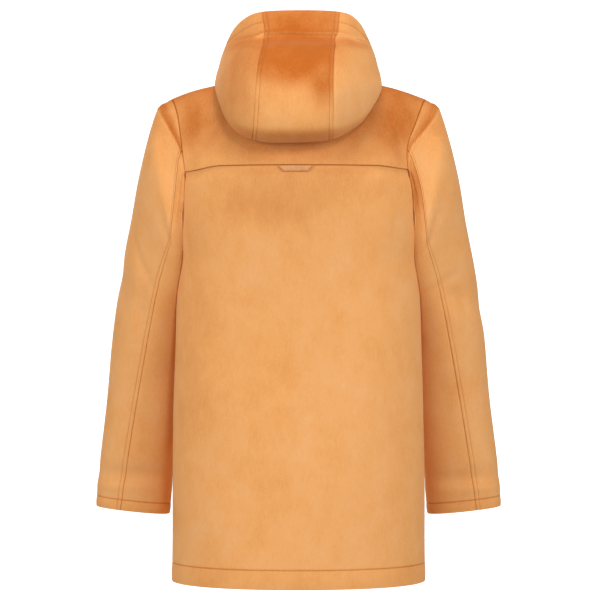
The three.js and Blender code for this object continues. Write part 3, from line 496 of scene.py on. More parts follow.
@functools.cache
def front_left_grid():
    """Left front: its columns run from the lap at the front edge to the side seam and armhole."""
    out = FRONT_OUT
    x = np.concatenate([np.linspace(-FRONT_LAP, FRONT_LAP, 17), np.full(45, FRONT_LAP)])

    def turn(z):
        return mix(front_turn(z, x), 180 - armhole_turn(z), out)

    z = BODY_ROWS[:, None]
    low = torso(z + 0 * x, turn(z))
    chest = np.array(float(CHEST))
    leave, arrive = (mix(*ends, out[:, None]) for ends in (FRONT_LEAVE, FRONT_ARRIVE))
    rise = np.repeat(FRONT_RISES[:, None], len(out), axis=1)
    high = sweep(torso(chest + 0 * x, turn(chest)), leave, front_top(x, out), arrive, rise)
    return np.concatenate([low, high])


@functools.cache
def front_right_grid():
    """Right front: the left one mirrored, set in where it passes under the left front."""
    grid = mirrored(front_left_grid())
    covered = 1 - ease(FRONT_LAP + 2, FRONT_LAP + LAP_EASE, -grid[..., 0])
    return grid - grid_normals(grid) * ((CLOTH + LAP_GAP) * covered)[..., None]


def share_seam(one, one_keys, other, other_keys):
    """Gives both sides of a seam the same normals, so that their edges meet."""
    def at(keys, known, values):
        return np.stack([np.interp(keys, known, values[:, k]) for k in range(3)], axis=-1)

    both_one = unit(one + at(one_keys, other_keys, other))
    both_other = unit(other + at(other_keys, one_keys, one))
    one[:], other[:] = both_one, both_other


@functools.cache
def body():
    """Grids and normals of the four body panels."""
    grids = {"back": back_grid(), "yoke": yoke_grid()}
    grids |= {"left": front_left_grid(), "right": front_right_grid()}
    normals = {name: grid_normals(grid) for name, grid in grids.items()}
    rows = slice(0, UNDERARM_ROW + 1)
    heights = BODY_ROWS[rows]
    seam_out = FRONT_OUT[FRONT_OUT >= 1 / 3 - 1e-9]
    count = len(seam_out)
    # Places along the front yoke seam, from the neck (0) to the armhole (1)
    front_keys, yoke_keys = (seam_out - 1 / 3) * 1.5, 1 - YOKE_ALONG[::-1]
    for side, edge in (("left", 0), ("right", -1)):
        front = normals[side] if side == "left" else normals[side][:, ::-1]
        share_seam(normals["back"][rows, edge], heights, front[rows, -1], heights)
        share_seam(normals["yoke"][::-1, edge], yoke_keys[::-1], front[-1, -count:], front_keys)
    return {name: (grids[name], normals[name]) for name in grids}


# ---------------------------------------------------------------- form of the sleeves


def armhole_loop(side):
    """Armhole from the front yoke seam over the shoulder, down the back and up the front."""
    yoke, back = body()["yoke"], body()["back"]
    front = body()["left" if side > 0 else "right"]
    over = int(np.searchsorted(YOKE_COLUMNS, SHOULDER_STEPS))
    back_top = len(BODY_ROWS) + int(np.searchsorted(BACK_RISES, 0.86))
    edge = 0 if side > 0 else -1
    rows = [
        (yoke, 0, np.arange(over + 1) if side > 0 else -1 - np.arange(over + 1)),
        (back, np.arange(back_top, UNDERARM_ROW - 1, -1), edge),
        (front, np.arange(UNDERARM_ROW + 1, len(front[0]) - 1), -1 if side > 0 else 0),
    ]
    points = np.concatenate([form[0][r, c] for form, r, c in rows])
    normals = np.concatenate([form[1][r, c] for form, r, c in rows])
    back_seam = int(np.searchsorted(YOKE_COLUMNS, BACK_SEAM_STEP))
    front_start = over + 1 + back_top - UNDERARM_ROW + 1
    front_seam = front_start + len(BODY_ROWS) - 1 - UNDERARM_ROW - 1
    flip = np.array([side, 1, 1])
    return points * flip, normals * flip, back_seam, front_seam


def loop_turns(points):
    """Degrees round the armhole by length: 0 at its top, 180 under the arm."""
    top, low = int(np.argmax(points[:, 2])), int(np.argmin(points[:, 2]))
    lengths = np.linalg.norm(np.roll(points, -1, axis=0) - points, axis=1)
    walked = np.concatenate([[0], np.cumsum(np.roll(lengths, -top))])
    walked = np.roll(walked[:-1], top)
    total, half = lengths.sum(), walked[low]
    return np.where(walked <= half, 180 * walked / half, 180 + 180 * (walked - half) / (total - half))


def keep_clear(points):
    """Keeps the sleeve outside the body below the armhole."""
    x, y, z = np.moveaxis(points, -1, 0)
    depth = np.where(y > 0, body_width("back", z), body_width("front", z))
    share = 1 - np.minimum(np.abs(y) / depth, 1) ** ROUNDNESS
    body_x = body_width("side", z) * share ** (1 / ROUNDNESS)
    below = ease(UNDERARM, UNDERARM - SLEEVE_EASE, z)
    least = body_x + mix(ARMHOLE_GAP, SLEEVE_CLEARANCE, below)
    clear = 0.5 * (x + least + np.hypot(x - least, below))
    return place(np.where(z > UNDERARM + UNDERARM_REACH, x, clear), y, z)


def seam_turn(turn, seams, back_seam):
    """Turn round the arm for a turn of the armhole, so that the seams lie where they should."""
    inner = mix(back_seam, FRONT_SEAM_TURN, INNER_SHARE)
    known = [0, seams[0], 180, seams[1], 360]
    return np.interp(turn, known, [0, back_seam, inner, FRONT_SEAM_TURN, 360])


def sleeve_folds(name, along, turn):
    """Relief of the soft folds of one sleeve."""
    total = 0
    for centre, around, deep, long, wide, slant in SLEEVE_FOLDS[name]:
        off = (turn - around + 540) % 360 - 180
        total = total - deep * bump(along - centre - slant * off, long) * bump(off, wide)
    return total


def sleeve_head(loop, normals, turns):
    """Rows of the sleeve at the armhole, in the valley beside it and on the ridge of the head."""
    topness = np.clip(HEAD_SPREAD + np.cos(np.radians(turns)), 0, 1)
    reach = mix(HEAD_LOW, HEAD_TOP, topness * topness)[:, None]
    out, drop = mix(HEAD_OUT_LOW, HEAD_OUT_TOP, topness), mix(HEAD_DROP_LOW, HEAD_DROP_TOP, topness)
    outward = place(out, 0, -drop)
    start = loop + [ARMHOLE_GAP, 0, 0]
    deep = HEAD_VALLEY * topness * np.where(turns < 180, 1, HEAD_VALLEY_FRONT)
    valley = start + outward * reach / 2 - normals * deep[:, None]
    return [start, valley, start + outward * reach + normals * HEAD_RISE]


# Rows of a sleeve, from the cuff (9) to the armhole (0)
SLEEVE_ALONG = spaced((9, 7.6, 50), (7.6, 2, 120), (2, 0, 36))


@functools.cache
def sleeve_tube(name):
    """Whole sleeve as a tube, with the columns of its two seams and its normals."""
    side = 1 if name == "left" else -1
    loop, loop_normals, back_seam, front_seam = armhole_loop(side)
    turns = loop_turns(loop)
    seams = (turns[back_seam], turns[front_seam])
    points = sleeve_head(loop, loop_normals, turns)
    power = 2 / SLEEVE_ROUNDNESS
    table = SLEEVE_SECTIONS
    for i, seam in enumerate(table["seam"]):
        around = np.radians(seam_turn(turns, seams, seam))
        share = 0.5 + 0.5 * soft_power(np.cos(around), power)
        points.append(keep_clear(place(
            mix(table["inner_x"][i], table["outer_x"][i], share),
            table["y"][i] + table["depth"][i] * soft_power(np.sin(around), power),
            mix(table["inner_z"][i], table["outer_z"][i], share),
        )))
    points = [np.vstack([row, row[:1]]) for row in points]
    tube = keep_clear(smooth([0, 0.5, 1, *table["along"]], np.array(points), SLEEVE_ALONG))
    loop_degrees = np.append(turns, 360.0)
    tube = slide_seam(tube, loop_degrees, turns[back_seam])
    tube = calm(tube, loop_degrees)
    around = seam_turn(np.append(turns, turns[0]), seams, ELBOW_SEAM)
    along = SLEEVE_ALONG[:, None]
    # Under the arm the sleeve lies against the body
    tuck = TUCK * bump(loop_degrees - TUCK_TURN, TUCK_SPREAD)
    tuck = tuck * ease(0.6, 1.6, along) * (1 - ease(3.4, 5.2, along))
    tube = keep_clear(tube - place(tuck, 0, 0))
    # band is the painted shade between the two creases of the sleeve head
    creases, band = head_creases(tube, loop_degrees)
    relief = sleeve_folds(name, along, around) * ease(1.6, 2.2, along) + creases
    tube = tube + grid_normals(tube, closed=True) * relief[..., None]
    normals = grid_normals(tube, closed=True)
    shared = np.vstack([loop_normals, loop_normals[:1]])
    level = (np.sum(shared * normals[-1], axis=-1) > TURNED_BACK)[:, None]
    near = (1 - ease(0, 0.4, along))[..., None] * level
    return tube, unit(mix(normals, shared[None], near)), band[..., None], back_seam, front_seam


def calm(tube, degrees):
    """Evens out the cloth that is gathered below the back of the armhole."""
    along = SLEEVE_ALONG[:, None]
    below = ease(0.0, 0.5, along) * (1 - ease(2.2, 3.4, along))
    weight = (below * ease(80, 100, degrees) * (1 - ease(155, 180, degrees)))[1:-1, :-1, None]
    ring = tube[:, :-1].copy()
    for _ in range(CALM_ROUNDS):
        inner = ring[1:-1]
        beside = (np.roll(ring, 1, axis=1) + np.roll(ring, -1, axis=1))[1:-1]
        even = 0.25 * (beside + ring[:-2] + ring[2:])
        ring[1:-1] = inner + weight * (even - inner)
    return np.concatenate([ring, ring[:, :1]], axis=1)


def slide_seam(tube, degrees, seam):
    """Slides the columns beside the back seam round the arm just below the armhole."""
    top = degrees[:-1]
    along = SLEEVE_ALONG[:, None]
    shift = SEAM_SLIDE * ease(0, 1, along) * (1 - ease(2.4, 4.4, along)) * bump(top - seam, SEAM_SPREAD)
    ring = tube[:, :-1]
    start = int(np.argmin(top))
    order = np.roll(np.arange(len(top)), -start)
    known = np.append(top[order], 360)
    moved = np.empty_like(ring)
    for r, row in enumerate(ring):
        values = np.vstack([row[order], row[order[:1]]])
        moved[r] = smooth(known, values, (top + shift[r]) % 360)
    return np.concatenate([moved, moved[:, :1]], axis=1)


def head_creases(tube, degrees):
    """Relief of the two creases round the sleeve head, and the painted shade of the band between them.
    """
    reach = lengths_along(tube[::-1])[::-1]
    turn = np.minimum(degrees, 360 - degrees)
    outer, inner = (
        wide * np.clip((end - turn) / (end - HEAD_CREASE_START), 0, 1)
        for wide, end in (HEAD_CREASES["outer"], HEAD_CREASES["inner"])
    )
    shown = 1 - ease(*HEAD_CREASE_FADE, turn)
    middle, half = (outer + inner) / 2, np.maximum((outer - inner) / 2, 1)
    relief = -HEAD_HOLLOW * bump(reach - middle, half)
    for line, (high, wide) in ((outer, HEAD_FOLDS["outer"]), (inner, HEAD_FOLDS["inner"])):
        relief = relief + high * bump(reach - line, wide)
    # Painted shade in the band between the two creases
    band = ease(inner - 3, inner + 3, reach) * (1 - ease(outer - 3, outer + 1, reach))
    return relief * shown, band * shown


def sleeve_forms(name):
    """Grids, normals and painted band shade of the upper and the under sleeve, cut from the tube at its
    seams.
    """
    *rings, back_seam, front_seam = sleeve_tube(name)
    pieces = []
    for ring in rings:
        ring = ring[:, :-1]
        upper = np.concatenate([ring[:, front_seam:], ring[:, : back_seam + 1]], axis=1)
        under = ring[:, back_seam : front_seam + 1]
        pieces.append((upper, under) if name == "left" else (mirrored(upper), mirrored(under)))
    grids, normals, band_shades = pieces
    strength = HEAD_BAND_SHADE[name]
    return [(grids[k], normals[k], band_shades[k] * strength) for k in range(2)]


# ---------------------------------------------------------------- form of the hood

# Station of the seams beside the middle strip, and columns of the strip
GUSSET, STRIP_STEPS = 1, 40
# How far the middle strip has slid sideways at each step of the profile
HOOD_SLIDE = {
    "step": [0, 2, 3, 4, 5, 6.4, 7.3, 8, 8.2, 9],
    "x": [0, 9, 9.5, 8, 6, 3, -1, -1.5, -4.5, -3.5],
}
# Crease under the rim: its step, how far it falls and waves round the neck, its strength at the left
# and right of the strip, the height of the fold above it and the depth of the cloth below it
CREASE_STEP, CREASE_FALL, CREASE_WAVE = 8.1, 0.16, 0.02
CREASE_LEFT, CREASE_RIGHT, CREASE_FOLD, CREASE_DEEP = 0.12, 0.3, 1.6, 3.0
# Soft hollows of the pouch: depth, and the place and reach of each along the profile and round it
HOOD_DENTS = [
    (2.2, 5.6, 0.5, -0.9, 0.45),
    (1.6, 6.6, 0.5, 1.9, 0.9),
    (1.8, 6.1, 0.6, -2.3, 0.8),
]
# Rows of the hood as steps of its profile, and its columns as stations round the neck
HOOD_STEPS = spaced((0, 7.3, 90), (7.3, 8.5, 44), (8.5, 9, 10))
HOOD_SIDE = spaced((1, 4, 50), (4, HOOD_END_STATION, 40))
HOOD_COLUMNS = np.concatenate([HOOD_SIDE[:0:-1], np.linspace(1, -1, STRIP_STEPS + 1), -HOOD_SIDE[1:]])


def hood_crease(step, station):
    """The rim stands up from a crease across the hood, sharp on the middle strip."""
    beyond = np.maximum(np.abs(station) - GUSSET, 0)
    line = CREASE_STEP - CREASE_FALL * beyond + CREASE_WAVE * np.sin(3.1 * station)
    side = np.where(station > 0, CREASE_LEFT, CREASE_RIGHT)
    strength = mix(1, side, ease(0, 0.5, beyond)) * (1 - ease(0.2, 2.2, beyond))
    off = step - line
    below = (1 - ease(-0.07, 0.03, off)) * (1 - ease(0, 2.8, -off))
    return strength * (CREASE_FOLD * bump(off - 0.07, 0.08) - CREASE_DEEP * below)


def hood_dents(step, station):
    """Soft hollows where the pouch sags between the neck and the rim."""
    return -sum(
        deep * bump(step - centre, long) * bump(station - around, wide)
        for deep, centre, long, around, wide in HOOD_DENTS
    )


@functools.cache
def hood_grid():
    """Outer surface of the whole hood, from the neck seam to the rim."""
    reach = np.abs(HOOD_COLUMNS)
    keys = np.arange(HOOD_END_STATION + 1)
    rows = [neckline(smooth(keys, HOOD_STATIONS["neck"], reach)) + [0, 0, NECK_SEAM_LIFT]]
    for name in HOOD_PROFILE:
        corners = np.array(HOOD_STATIONS[name], float)
        across = corners[1] * [-1, 1, 1]
        rows.append(smooth([-1, *keys], np.vstack([across, corners]), reach))
    grid = smooth(np.arange(len(rows)), np.array(rows), HOOD_STEPS)
    grid[..., 0] *= np.where(HOOD_COLUMNS < 0, -1, 1)
    step, station = HOOD_STEPS[:, None], HOOD_COLUMNS[None]
    # The strip lies a little askew: it has slid sideways below, and the other way at the crease
    slid = smooth(HOOD_SLIDE["step"], HOOD_SLIDE["x"], step)
    grid[..., 0] += slid * (1 - ease(1.3, 3.2, reach))
    relief = hood_crease(step, station) + hood_dents(step, station)
    return grid + grid_normals(grid) * relief[..., None]


def hood_forms():
    """Grids and normals of the hood's left side, middle strip and right side."""
    left = len(HOOD_SIDE) - 1
    right = left + STRIP_STEPS
    whole = hood_grid(), grid_normals(hood_grid())
    cuts = (slice(0, left + 1), slice(left, right + 1), slice(right, None))
    return [tuple(grid[:, cut] for grid in whole) for cut in cuts]


# ---------------------------------------------------------------- cloth shells

# Distances from an edge, and from a row of stitches, at which the cloth is cut
ROUND_STEPS = (0, 0.3, 0.8, 1.5, 2.6)
STITCH_STEPS = np.array([-0.7, 0, 0.7, 1.5, 3.0])
# A panel fills at least this share of its flat width times its length
FAN_SHARE = 0.45
# Depth and width of the dip at a seam and of the channel under a row of stitches, and how high the
# cloth puffs up between them in a hem and beside a seam
SEAM_DIP, SEAM_DIP_WIDTH, CHANNEL, CHANNEL_WIDTH = 0.35, 2.8, 0.62, 0.95
HEM_PUFF, SEAM_PUFF = 0.5, 0.38
# The right armhole has slid in by this much, round this place, at the back only
SLIDE, SLIDE_X, SLIDE_Z, SLIDE_BACK = 12, (-184, 28), (-112, 46), (10, 60)
# Waves of hanging cloth: height, distance along x, y and z for one radian, and start
RIPPLES = [
    (0.34, (23, np.inf, 71), 0.7),
    (0.3, (-59, 41, 37), 2.1),
    (0.22, (13, 17, -29), 0.0),
]


class Edge:
    """One edge of a panel: the points cut near it, and its topstitching's distance from it. Shade
    is how much painted shade darkens the wool in the groove of its seam."""

    def __init__(self, stitch=0, hem=False, shade=0.0):
        self.stitch = stitch
        self.shade = shade
        self.hem = hem
        near = [4.2]
        if stitch:
            between = np.linspace(ROUND_STEPS[-1], stitch - 1.5, max(2, int(stitch / 4)))[1:]
            near = [*between, *(stitch + STITCH_STEPS)]
        self.band = np.array([*ROUND_STEPS, *near])
        self.stitch_row = int(np.argmin(np.abs(self.band - stitch))) if stitch else None

    def relief(self, distance):
        """Height of the cloth near the edge: a seam's dip, a stitch channel and a puff between."""
        height = -SEAM_DIP * bump(distance, SEAM_DIP_WIDTH)
        if self.stitch:
            height = height - CHANNEL * bump(distance - self.stitch, CHANNEL_WIDTH)
            puff = bump(distance - self.stitch * 0.52, self.stitch * 0.3)
            height = height + (HEM_PUFF if self.hem else SEAM_PUFF) * puff
        return height


def respace(grid, start, end, spacing):
    """Cuts the lines that run down a grid again: fine near both edges, evenly between them."""
    reach = lengths_along(grid[..., :3])
    near, far = start.band, end.band
    count = max(4, int((reach[-1].max() - near[-1] - far[-1]) / spacing))
    shares = np.linspace(0, 1, count + 1)
    lines, places = [], []
    for c in range(grid.shape[1]):
        total = reach[-1, c]
        tight = min(1.0, 0.45 * total / max(near[-1], far[-1]))
        low, high = near * tight, total - far[::-1] * tight
        at = np.concatenate([low[:-1], mix(low[-1], high[0], shares), high[1:]])
        lines.append(smooth(reach[:, c], grid[:, c], at))
        places.append(np.stack([at - low[0], high[-1] - at]))
    return np.stack(lines, axis=1), np.stack(places, axis=2)


def panel(form, edges, spacing):
    """Recuts a grid both ways. Gives its points, normals, painted shade from its form and distances from
    the four edges.
    """
    bottom, top, first, last = edges
    grid, upright = respace(np.concatenate(form, axis=-1), bottom, top, spacing)
    turned, across = respace(grid.transpose(1, 0, 2), first, last, spacing)
    points = turned.transpose(1, 0, 2)
    share = np.linspace(0, 1, grid.shape[1])
    moved = np.linspace(0, 1, points.shape[1])
    upright = np.array([[np.interp(moved, share, row) for row in side] for side in upright])
    # A sleeve's form carries the painted shade of its head's band
    nap = points[..., 6:].sum(axis=-1)
    return points[..., :3], unit(points[..., 3:6]), nap, (*upright, *across.transpose(0, 2, 1))


def settle(points):
    """The right armhole has slid in a little, as the coat hangs."""
    x, y, z = np.moveaxis(points, -1, 0)
    near = bump(x - SLIDE_X[0], SLIDE_X[1]) * bump(z - SLIDE_Z[0], SLIDE_Z[1])
    return points + place(SLIDE * near * ease(*SLIDE_BACK, y), 0, 0)


def ripple(points):
    """Faint unevenness of hanging cloth, a fraction of a millimetre over a hand's width."""
    return sum(high * np.sin((points / per).sum(axis=-1) + start) for high, per, start in RIPPLES)


def shell(points, normals, distances, relief, thickness):
    """Closed cloth shell with rounded edges: its vertices, faces and outer grid."""
    radius = thickness / 2
    edge = np.minimum(np.min(distances, axis=0), radius)
    fall = radius - np.sqrt(np.maximum(radius**2 - (radius - edge) ** 2, 0))
    relief = relief * ease(0, radius, edge)
    outer = points + normals * (relief - fall)[..., None]
    inner = points - normals * (thickness - fall)[..., None]
    rows, columns = outer.shape[:2]
    outside = np.arange(rows * columns).reshape(rows, columns)
    inside = outside.copy()
    inside[1:-1, 1:-1] = rows * columns + np.arange((rows - 2) * (columns - 2)).reshape(rows - 2, -1)
    vertices = np.vstack([outer.reshape(-1, 3), inner[1:-1, 1:-1].reshape(-1, 3)])
    return vertices, np.vstack([quads(outside), quads(inside)[:, ::-1]]), outer


def make_object(name, vertices, faces, material, values=None):
    """A smooth-shaded mesh from millimetre points, with one value a point for its nap's tone and painted
    shade.
    """
    mesh = bpy.data.meshes.new(name)
    mesh.from_pydata((np.asarray(vertices) * MM).tolist(), [], [list(map(int, face)) for face in faces])
    mesh.update()
    mesh.shade_smooth()
    if values is not None:
        nap = mesh.attributes.new("nap", "FLOAT", "POINT")
        nap.data.foreach_set("value", np.asarray(values, np.float32).ravel())
    mesh.materials.append(material)
    piece = bpy.data.objects.new(name, mesh)
    bpy.context.scene.collection.objects.link(piece)
    return piece


def fit(piece, slot, *nodes):
    """Ties a piece to the coat's body and hides the nodes that it stands for. The slot is not used."""
    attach(piece, "root")
    if nodes:
        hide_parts(*nodes)
    return piece


# ---------------------------------------------------------------- stitching


def lay_stitches(line, normals, length, gap, radius, lift):
    """Short arched threads along a line on the cloth: their vertices and faces."""
    reach = lengths_along(line)
    count = int(reach[-1] / (length + gap))
    if count < 1:
        return np.zeros((0, 3)), np.zeros((0, 4), int)
    at = (np.arange(count) + 0.5) * reach[-1] / count

    def along(values, where):
        return np.stack([np.interp(where, reach, values[:, k]) for k in range(3)], axis=-1)

    tangent = unit(along(line, at + 0.5) - along(line, at - 0.5))
    up = unit(along(normals, at))
    across = np.cross(tangent, up)
    rings, sides = 5, 6
    u = np.linspace(-1, 1, rings)
    thick = radius * np.sqrt(np.maximum(1 - u**4, 0.05))
    arch = lift * (1 - u**2)
    turn = np.arange(sides) * 2 * np.pi / sides
    centre = along(line, at)[:, None, None]
    shift = tangent[:, None, None] * (u * length / 2)[None, :, None, None]
    rise = up[:, None, None] * (arch[:, None] + thick[:, None] * np.sin(turn))[None, :, :, None]
    sway = across[:, None, None] * (thick[:, None] * np.cos(turn))[None, :, :, None]
    vertices = (centre + shift + rise + sway).reshape(-1, 3)
    index = np.arange(rings * sides).reshape(rings, sides)
    first, last = index[0], index[-1]
    caps = [first[[3, 2, 1, 0]], first[[0, 5, 4, 3]], last[[0, 1, 2, 3]], last[[3, 4, 5, 0]]]
    one = np.vstack([ring_quads(index), caps])
    starts = np.arange(count)[:, None, None] * rings * sides
    return vertices, (one[None] + starts).reshape(-1, 4)


def join_parts(parts):
    """One list of vertices and faces from several."""
    vertices, faces, start = [], [], 0
    for points, corners in parts:
        vertices.append(points)
        faces.append(np.asarray(corners) + start)
        start += len(points)
    return np.vstack(vertices), np.vstack(faces)


# ---------------------------------------------------------------- settings


def linear(code):
    """Linear colour from an sRGB hex value."""
    values = np.array([int(code[i : i + 2], 16) for i in (1, 3, 5)]) / 255
    return (*np.where(values <= 0.04045, values / 12.92, ((values + 0.055) / 1.055) ** 2.4), 1.0)


def colour(name, description, code):
    """A colour setting from a hex value."""
    return bpy.props.FloatVectorProperty(
        name=name, description=description, subtype="COLOR", size=4, min=0, max=1, default=linear(code)
    )


def length(name, description, default):
    """A length setting in metres."""
    return bpy.props.FloatProperty(
        name=name, description=description, unit="LENGTH", subtype="DISTANCE", min=0, default=default
    )


def number(name, description, default):
    """A setting that is a number from zero up."""
    return bpy.props.FloatProperty(name=name, description=description, min=0, default=default)


class CoatCut(bpy.types.PropertyGroup):
    """Sizes of the coat's cloth and sewing that a user may change."""

    hem: length("Hem", "Distance of the hem's stitching from the hem", 0.030)
    cuff: length("Cuff", "Distance of the cuff's stitching from the cuff", 0.018)
    rim: length("Hood rim", "Distance of the stitching from the hood's rim", 0.020)
    front_edge: length("Front edge", "Distance of the stitching from the front edges", 0.010)
    topstitch: length("Topstitch", "Distance of the topstitching from a seam", 0.0066)
    grid: length("Grid", "Distance between the points of a cloth panel", 0.0046)
    hood_grid: length("Hood grid", "Distance between the points of a hood panel", 0.0030)
    stitch: length("Stitch", "Length of one stitch", 0.0032)
    thread: length("Thread", "Thickness of the sewing thread", 0.00055)


class CoatColours(bpy.types.PropertyGroup):
    """Colours of the coat's cloth, thread, leather and horn."""

    wool: colour("Wool", "Brushed wool seen against its nap", "#e4a05e")
    # Deep wool stands for deep nap and for painted shade
    wool_deep_and_shade: colour("Deep wool", "Brushed wool seen along its nap", "#b8601c")
    # Wool in a seam: the colour of painted shade in seam grooves and stitch channels
    wool_seam_shade: colour("Wool in a seam", "Shaded wool that is pressed into a seam", "#7d451a")
    wool_pale: colour("Pale wool", "Wool where the nap is rubbed up", "#e9b27c")
    nap_sheen: colour("Nap sheen", "Light caught by the fibre ends", "#ffdcb4")
    thread: colour("Thread", "Sewing thread", "#c98243")
    leather: colour("Leather", "Leather of the loop and the patches", "#e2a468")
    leather_dark: colour("Leather grain", "Hollows of the leather's grain", "#c4804b")
    cord: colour("Cord", "Round leather cord", "#96602f")
    horn: colour("Horn", "Dark body of the toggles", "#3c2416")
    horn_streak: colour("Horn streak", "Light streaks of the toggles", "#8a5b34")


class CoatStage(bpy.types.PropertyGroup):
    """The studio round the coat."""

    key: number("Key light", "Soft light behind the camera, in watts", 25)
    fill: number("Fill light", "Soft light at either side, in watts", 67)
    top: number("Top light", "Soft light from above, in watts", 26)
    front: number("Front light", "Soft light on the coat's front, in watts", 70)
    room: number("Room light", "Strength of the light all round", 0.2)
    paper: colour("Paper", "Colour of the backdrop", "#ffffff")
    floor_paper: colour("Floor paper", "Colour of the floor", "#cdcdca")
    distance: length("Camera distance", "Distance from the camera to the middle of the coat", 3.5)


# ---------------------------------------------------------------- materials


def add_node(tree, kind, settings=None, links=None):
    """Adds a node, sets its properties and inputs, and links its inputs to other nodes' outputs."""
    node = tree.nodes.new(kind)
    for name, value in (settings or {}).items():
        if isinstance(name, str) and hasattr(node, name):
            setattr(node, name, value)
        else:
            node.inputs[name].default_value = value
    for name, (source, output) in (links or {}).items():
        tree.links.new(source.outputs[output], node.inputs[name])
    return node


def ramp(tree, source, stops):
    """A colour ramp from (place, colour) stops, driven by another node's output."""
    node = add_node(tree, "ShaderNodeValToRGB", links={"Fac": source})
    elements = node.color_ramp.elements
    elements[0].position, elements[0].color = stops[0]
    elements[1].position, elements[1].color = stops[-1]
    for position, tone in stops[1:-1]:
        elements.new(position).color = tone
    return node


def new_material(name):
    """An empty material and its node tree."""
    material = bpy.data.materials.get(name) or bpy.data.materials.new(name)
    material.use_nodes = True
    material.node_tree.nodes.clear()
    return material, material.node_tree


def finish_material(tree, settings, links):
    """Ends a material with its shader and output."""
    shader = add_node(tree, "ShaderNodeBsdfPrincipled", settings, links)
    add_node(tree, "ShaderNodeOutputMaterial", links={"Surface": (shader, "BSDF")})


def texture_space(tree, x_mm, y_mm, z_mm):
    """Object coordinates scaled so that a pattern of size 1 has these sizes."""
    where = add_node(tree, "ShaderNodeTexCoord")
    scale = [1 / (size * MM) for size in (x_mm, y_mm, z_mm)]
    return add_node(tree, "ShaderNodeMapping", {"Scale": scale}, {"Vector": (where, "Object")})


def noise(tree, sizes, detail, roughness=0.5):
    """Noise whose pattern has these sizes along x, y and z, in millimetres."""
    space = texture_space(tree, *sizes)
    return add_node(tree, "ShaderNodeTexNoise", {"Scale": 1.0, "Detail": detail, "Roughness": roughness},
                    {"Vector": (space, "Vector")})


def relief_node(tree, height, strength, distance, under=None, invert=False):
    """Relief from a pattern, laid over another relief where one is given."""
    links = {"Height": height} if under is None else {"Height": height, "Normal": (under, "Normal")}
    settings = {"Strength": strength, "Distance": distance, "invert": invert}
    return add_node(tree, "ShaderNodeBump", settings, links)


def shade(tone, share):
    """The same colour with this share of its light."""
    return (*(value * share for value in tone[:3]), 1.0)


def add_scaled(tree, source, amount, base):
    """base plus amount times how far a noise is above its middle."""
    centred = add_node(tree, "ShaderNodeMath", {"operation": "SUBTRACT", 1: 0.5}, {0: source})
    return add_node(tree, "ShaderNodeMath", {"operation": "MULTIPLY_ADD", 1: amount},
                    {0: (centred, 0), 2: base})


# Patterns in the nap: size in millimetres, detail, roughness and strength. The first two are broad
# and soft, the third runs down the cloth, and the last is its grain.
NAP_PATTERNS = [
    ((75, 75, 95), 2.0, 0.5, 0.24),
    ((24, 24, 34), 3.0, 0.5, 0.26),
    ((2.2, 2.2, 12), 3.0, 0.6, 0.2),
    ((2.2, 2.2, 2.8), 2.0, 0.7, 0.24),
]


@functools.cache
def brushed_wool():
    """Milled woollen coating, raised and brushed: a matte short nap that hides the weave. Where it
    is brushed the other way it looks deeper, and its fibre ends catch a soft light at the edges.
    The nap attribute also paints shade into its colour."""
    tones = bpy.context.scene.coat_colours
    material, tree = new_material("Brushed woollen coating")
    # The nap attribute holds both the nap's tone and painted shade
    nap = add_node(tree, "ShaderNodeAttribute", {"attribute_name": "nap"})
    level = (nap, "Fac")
    for sizes, detail, roughness, amount in NAP_PATTERNS:
        level = (add_scaled(tree, (noise(tree, sizes, detail, roughness), "Fac"), amount, level), 0)
    scaled = add_node(tree, "ShaderNodeMath", {"operation": "MULTIPLY", 1: 0.6}, {0: level})
    # The deep and seam colours are reached by deep nap and, mostly, by painted shade
    tint = ramp(tree, (scaled, 0), [
        (0.0, tones.wool_pale[:]), (0.18, tones.wool[:]),
        (0.55, tones.wool_deep_and_shade[:]), (1.0, tones.wool_seam_shade[:]),
    ])
    # Fibres of about 0.05 mm are drawn as tufts of 0.9 mm, coarse enough to show
    fibres = noise(tree, (0.9, 0.9, 3.4), 4.0, 0.62)
    clumps = noise(tree, (5.5, 5.5, 9), 2.0)
    streaks = noise(tree, (2.2, 2.2, 12), 3.0, 0.6)
    fine = relief_node(tree, (fibres, "Fac"), 0.5, 0.0005)
    coarse = relief_node(tree, (clumps, "Fac"), 0.22, 0.0012, fine)
    rough = add_node(tree, "ShaderNodeMath", {"operation": "MULTIPLY_ADD", 1: 0.1, 2: 0.88},
                     {0: (streaks, "Fac")})
    finish_material(tree, {
        "Metallic": 0.0, "IOR": 1.45, "Specular IOR Level": 0.18,
        "Sheen Weight": 0.22, "Sheen Roughness": 0.45, "Sheen Tint": tones.nap_sheen[:],
    }, {"Base Color": (tint, "Color"), "Roughness": (rough, 0), "Normal": (coarse, "Normal")})
    return material


@functools.cache
def spun_thread():
    """Spun polyester sewing thread, twisted from plies: matte, with fine slanting ridges."""
    tones = bpy.context.scene.coat_colours
    material, tree = new_material("Spun polyester thread")
    plies = noise(tree, (0.4, 0.4, 0.4), 2.0)
    tint = ramp(tree, (plies, "Fac"), [(0.3, shade(tones.thread, 0.72)), (0.7, tones.thread[:])])
    ridge = relief_node(tree, (plies, "Fac"), 0.5, 0.0001)
    finish_material(tree, {"Roughness": 0.75, "IOR": 1.5, "Sheen Weight": 0.15},
                    {"Base Color": (tint, "Color"), "Normal": (ridge, "Normal")})
    return material


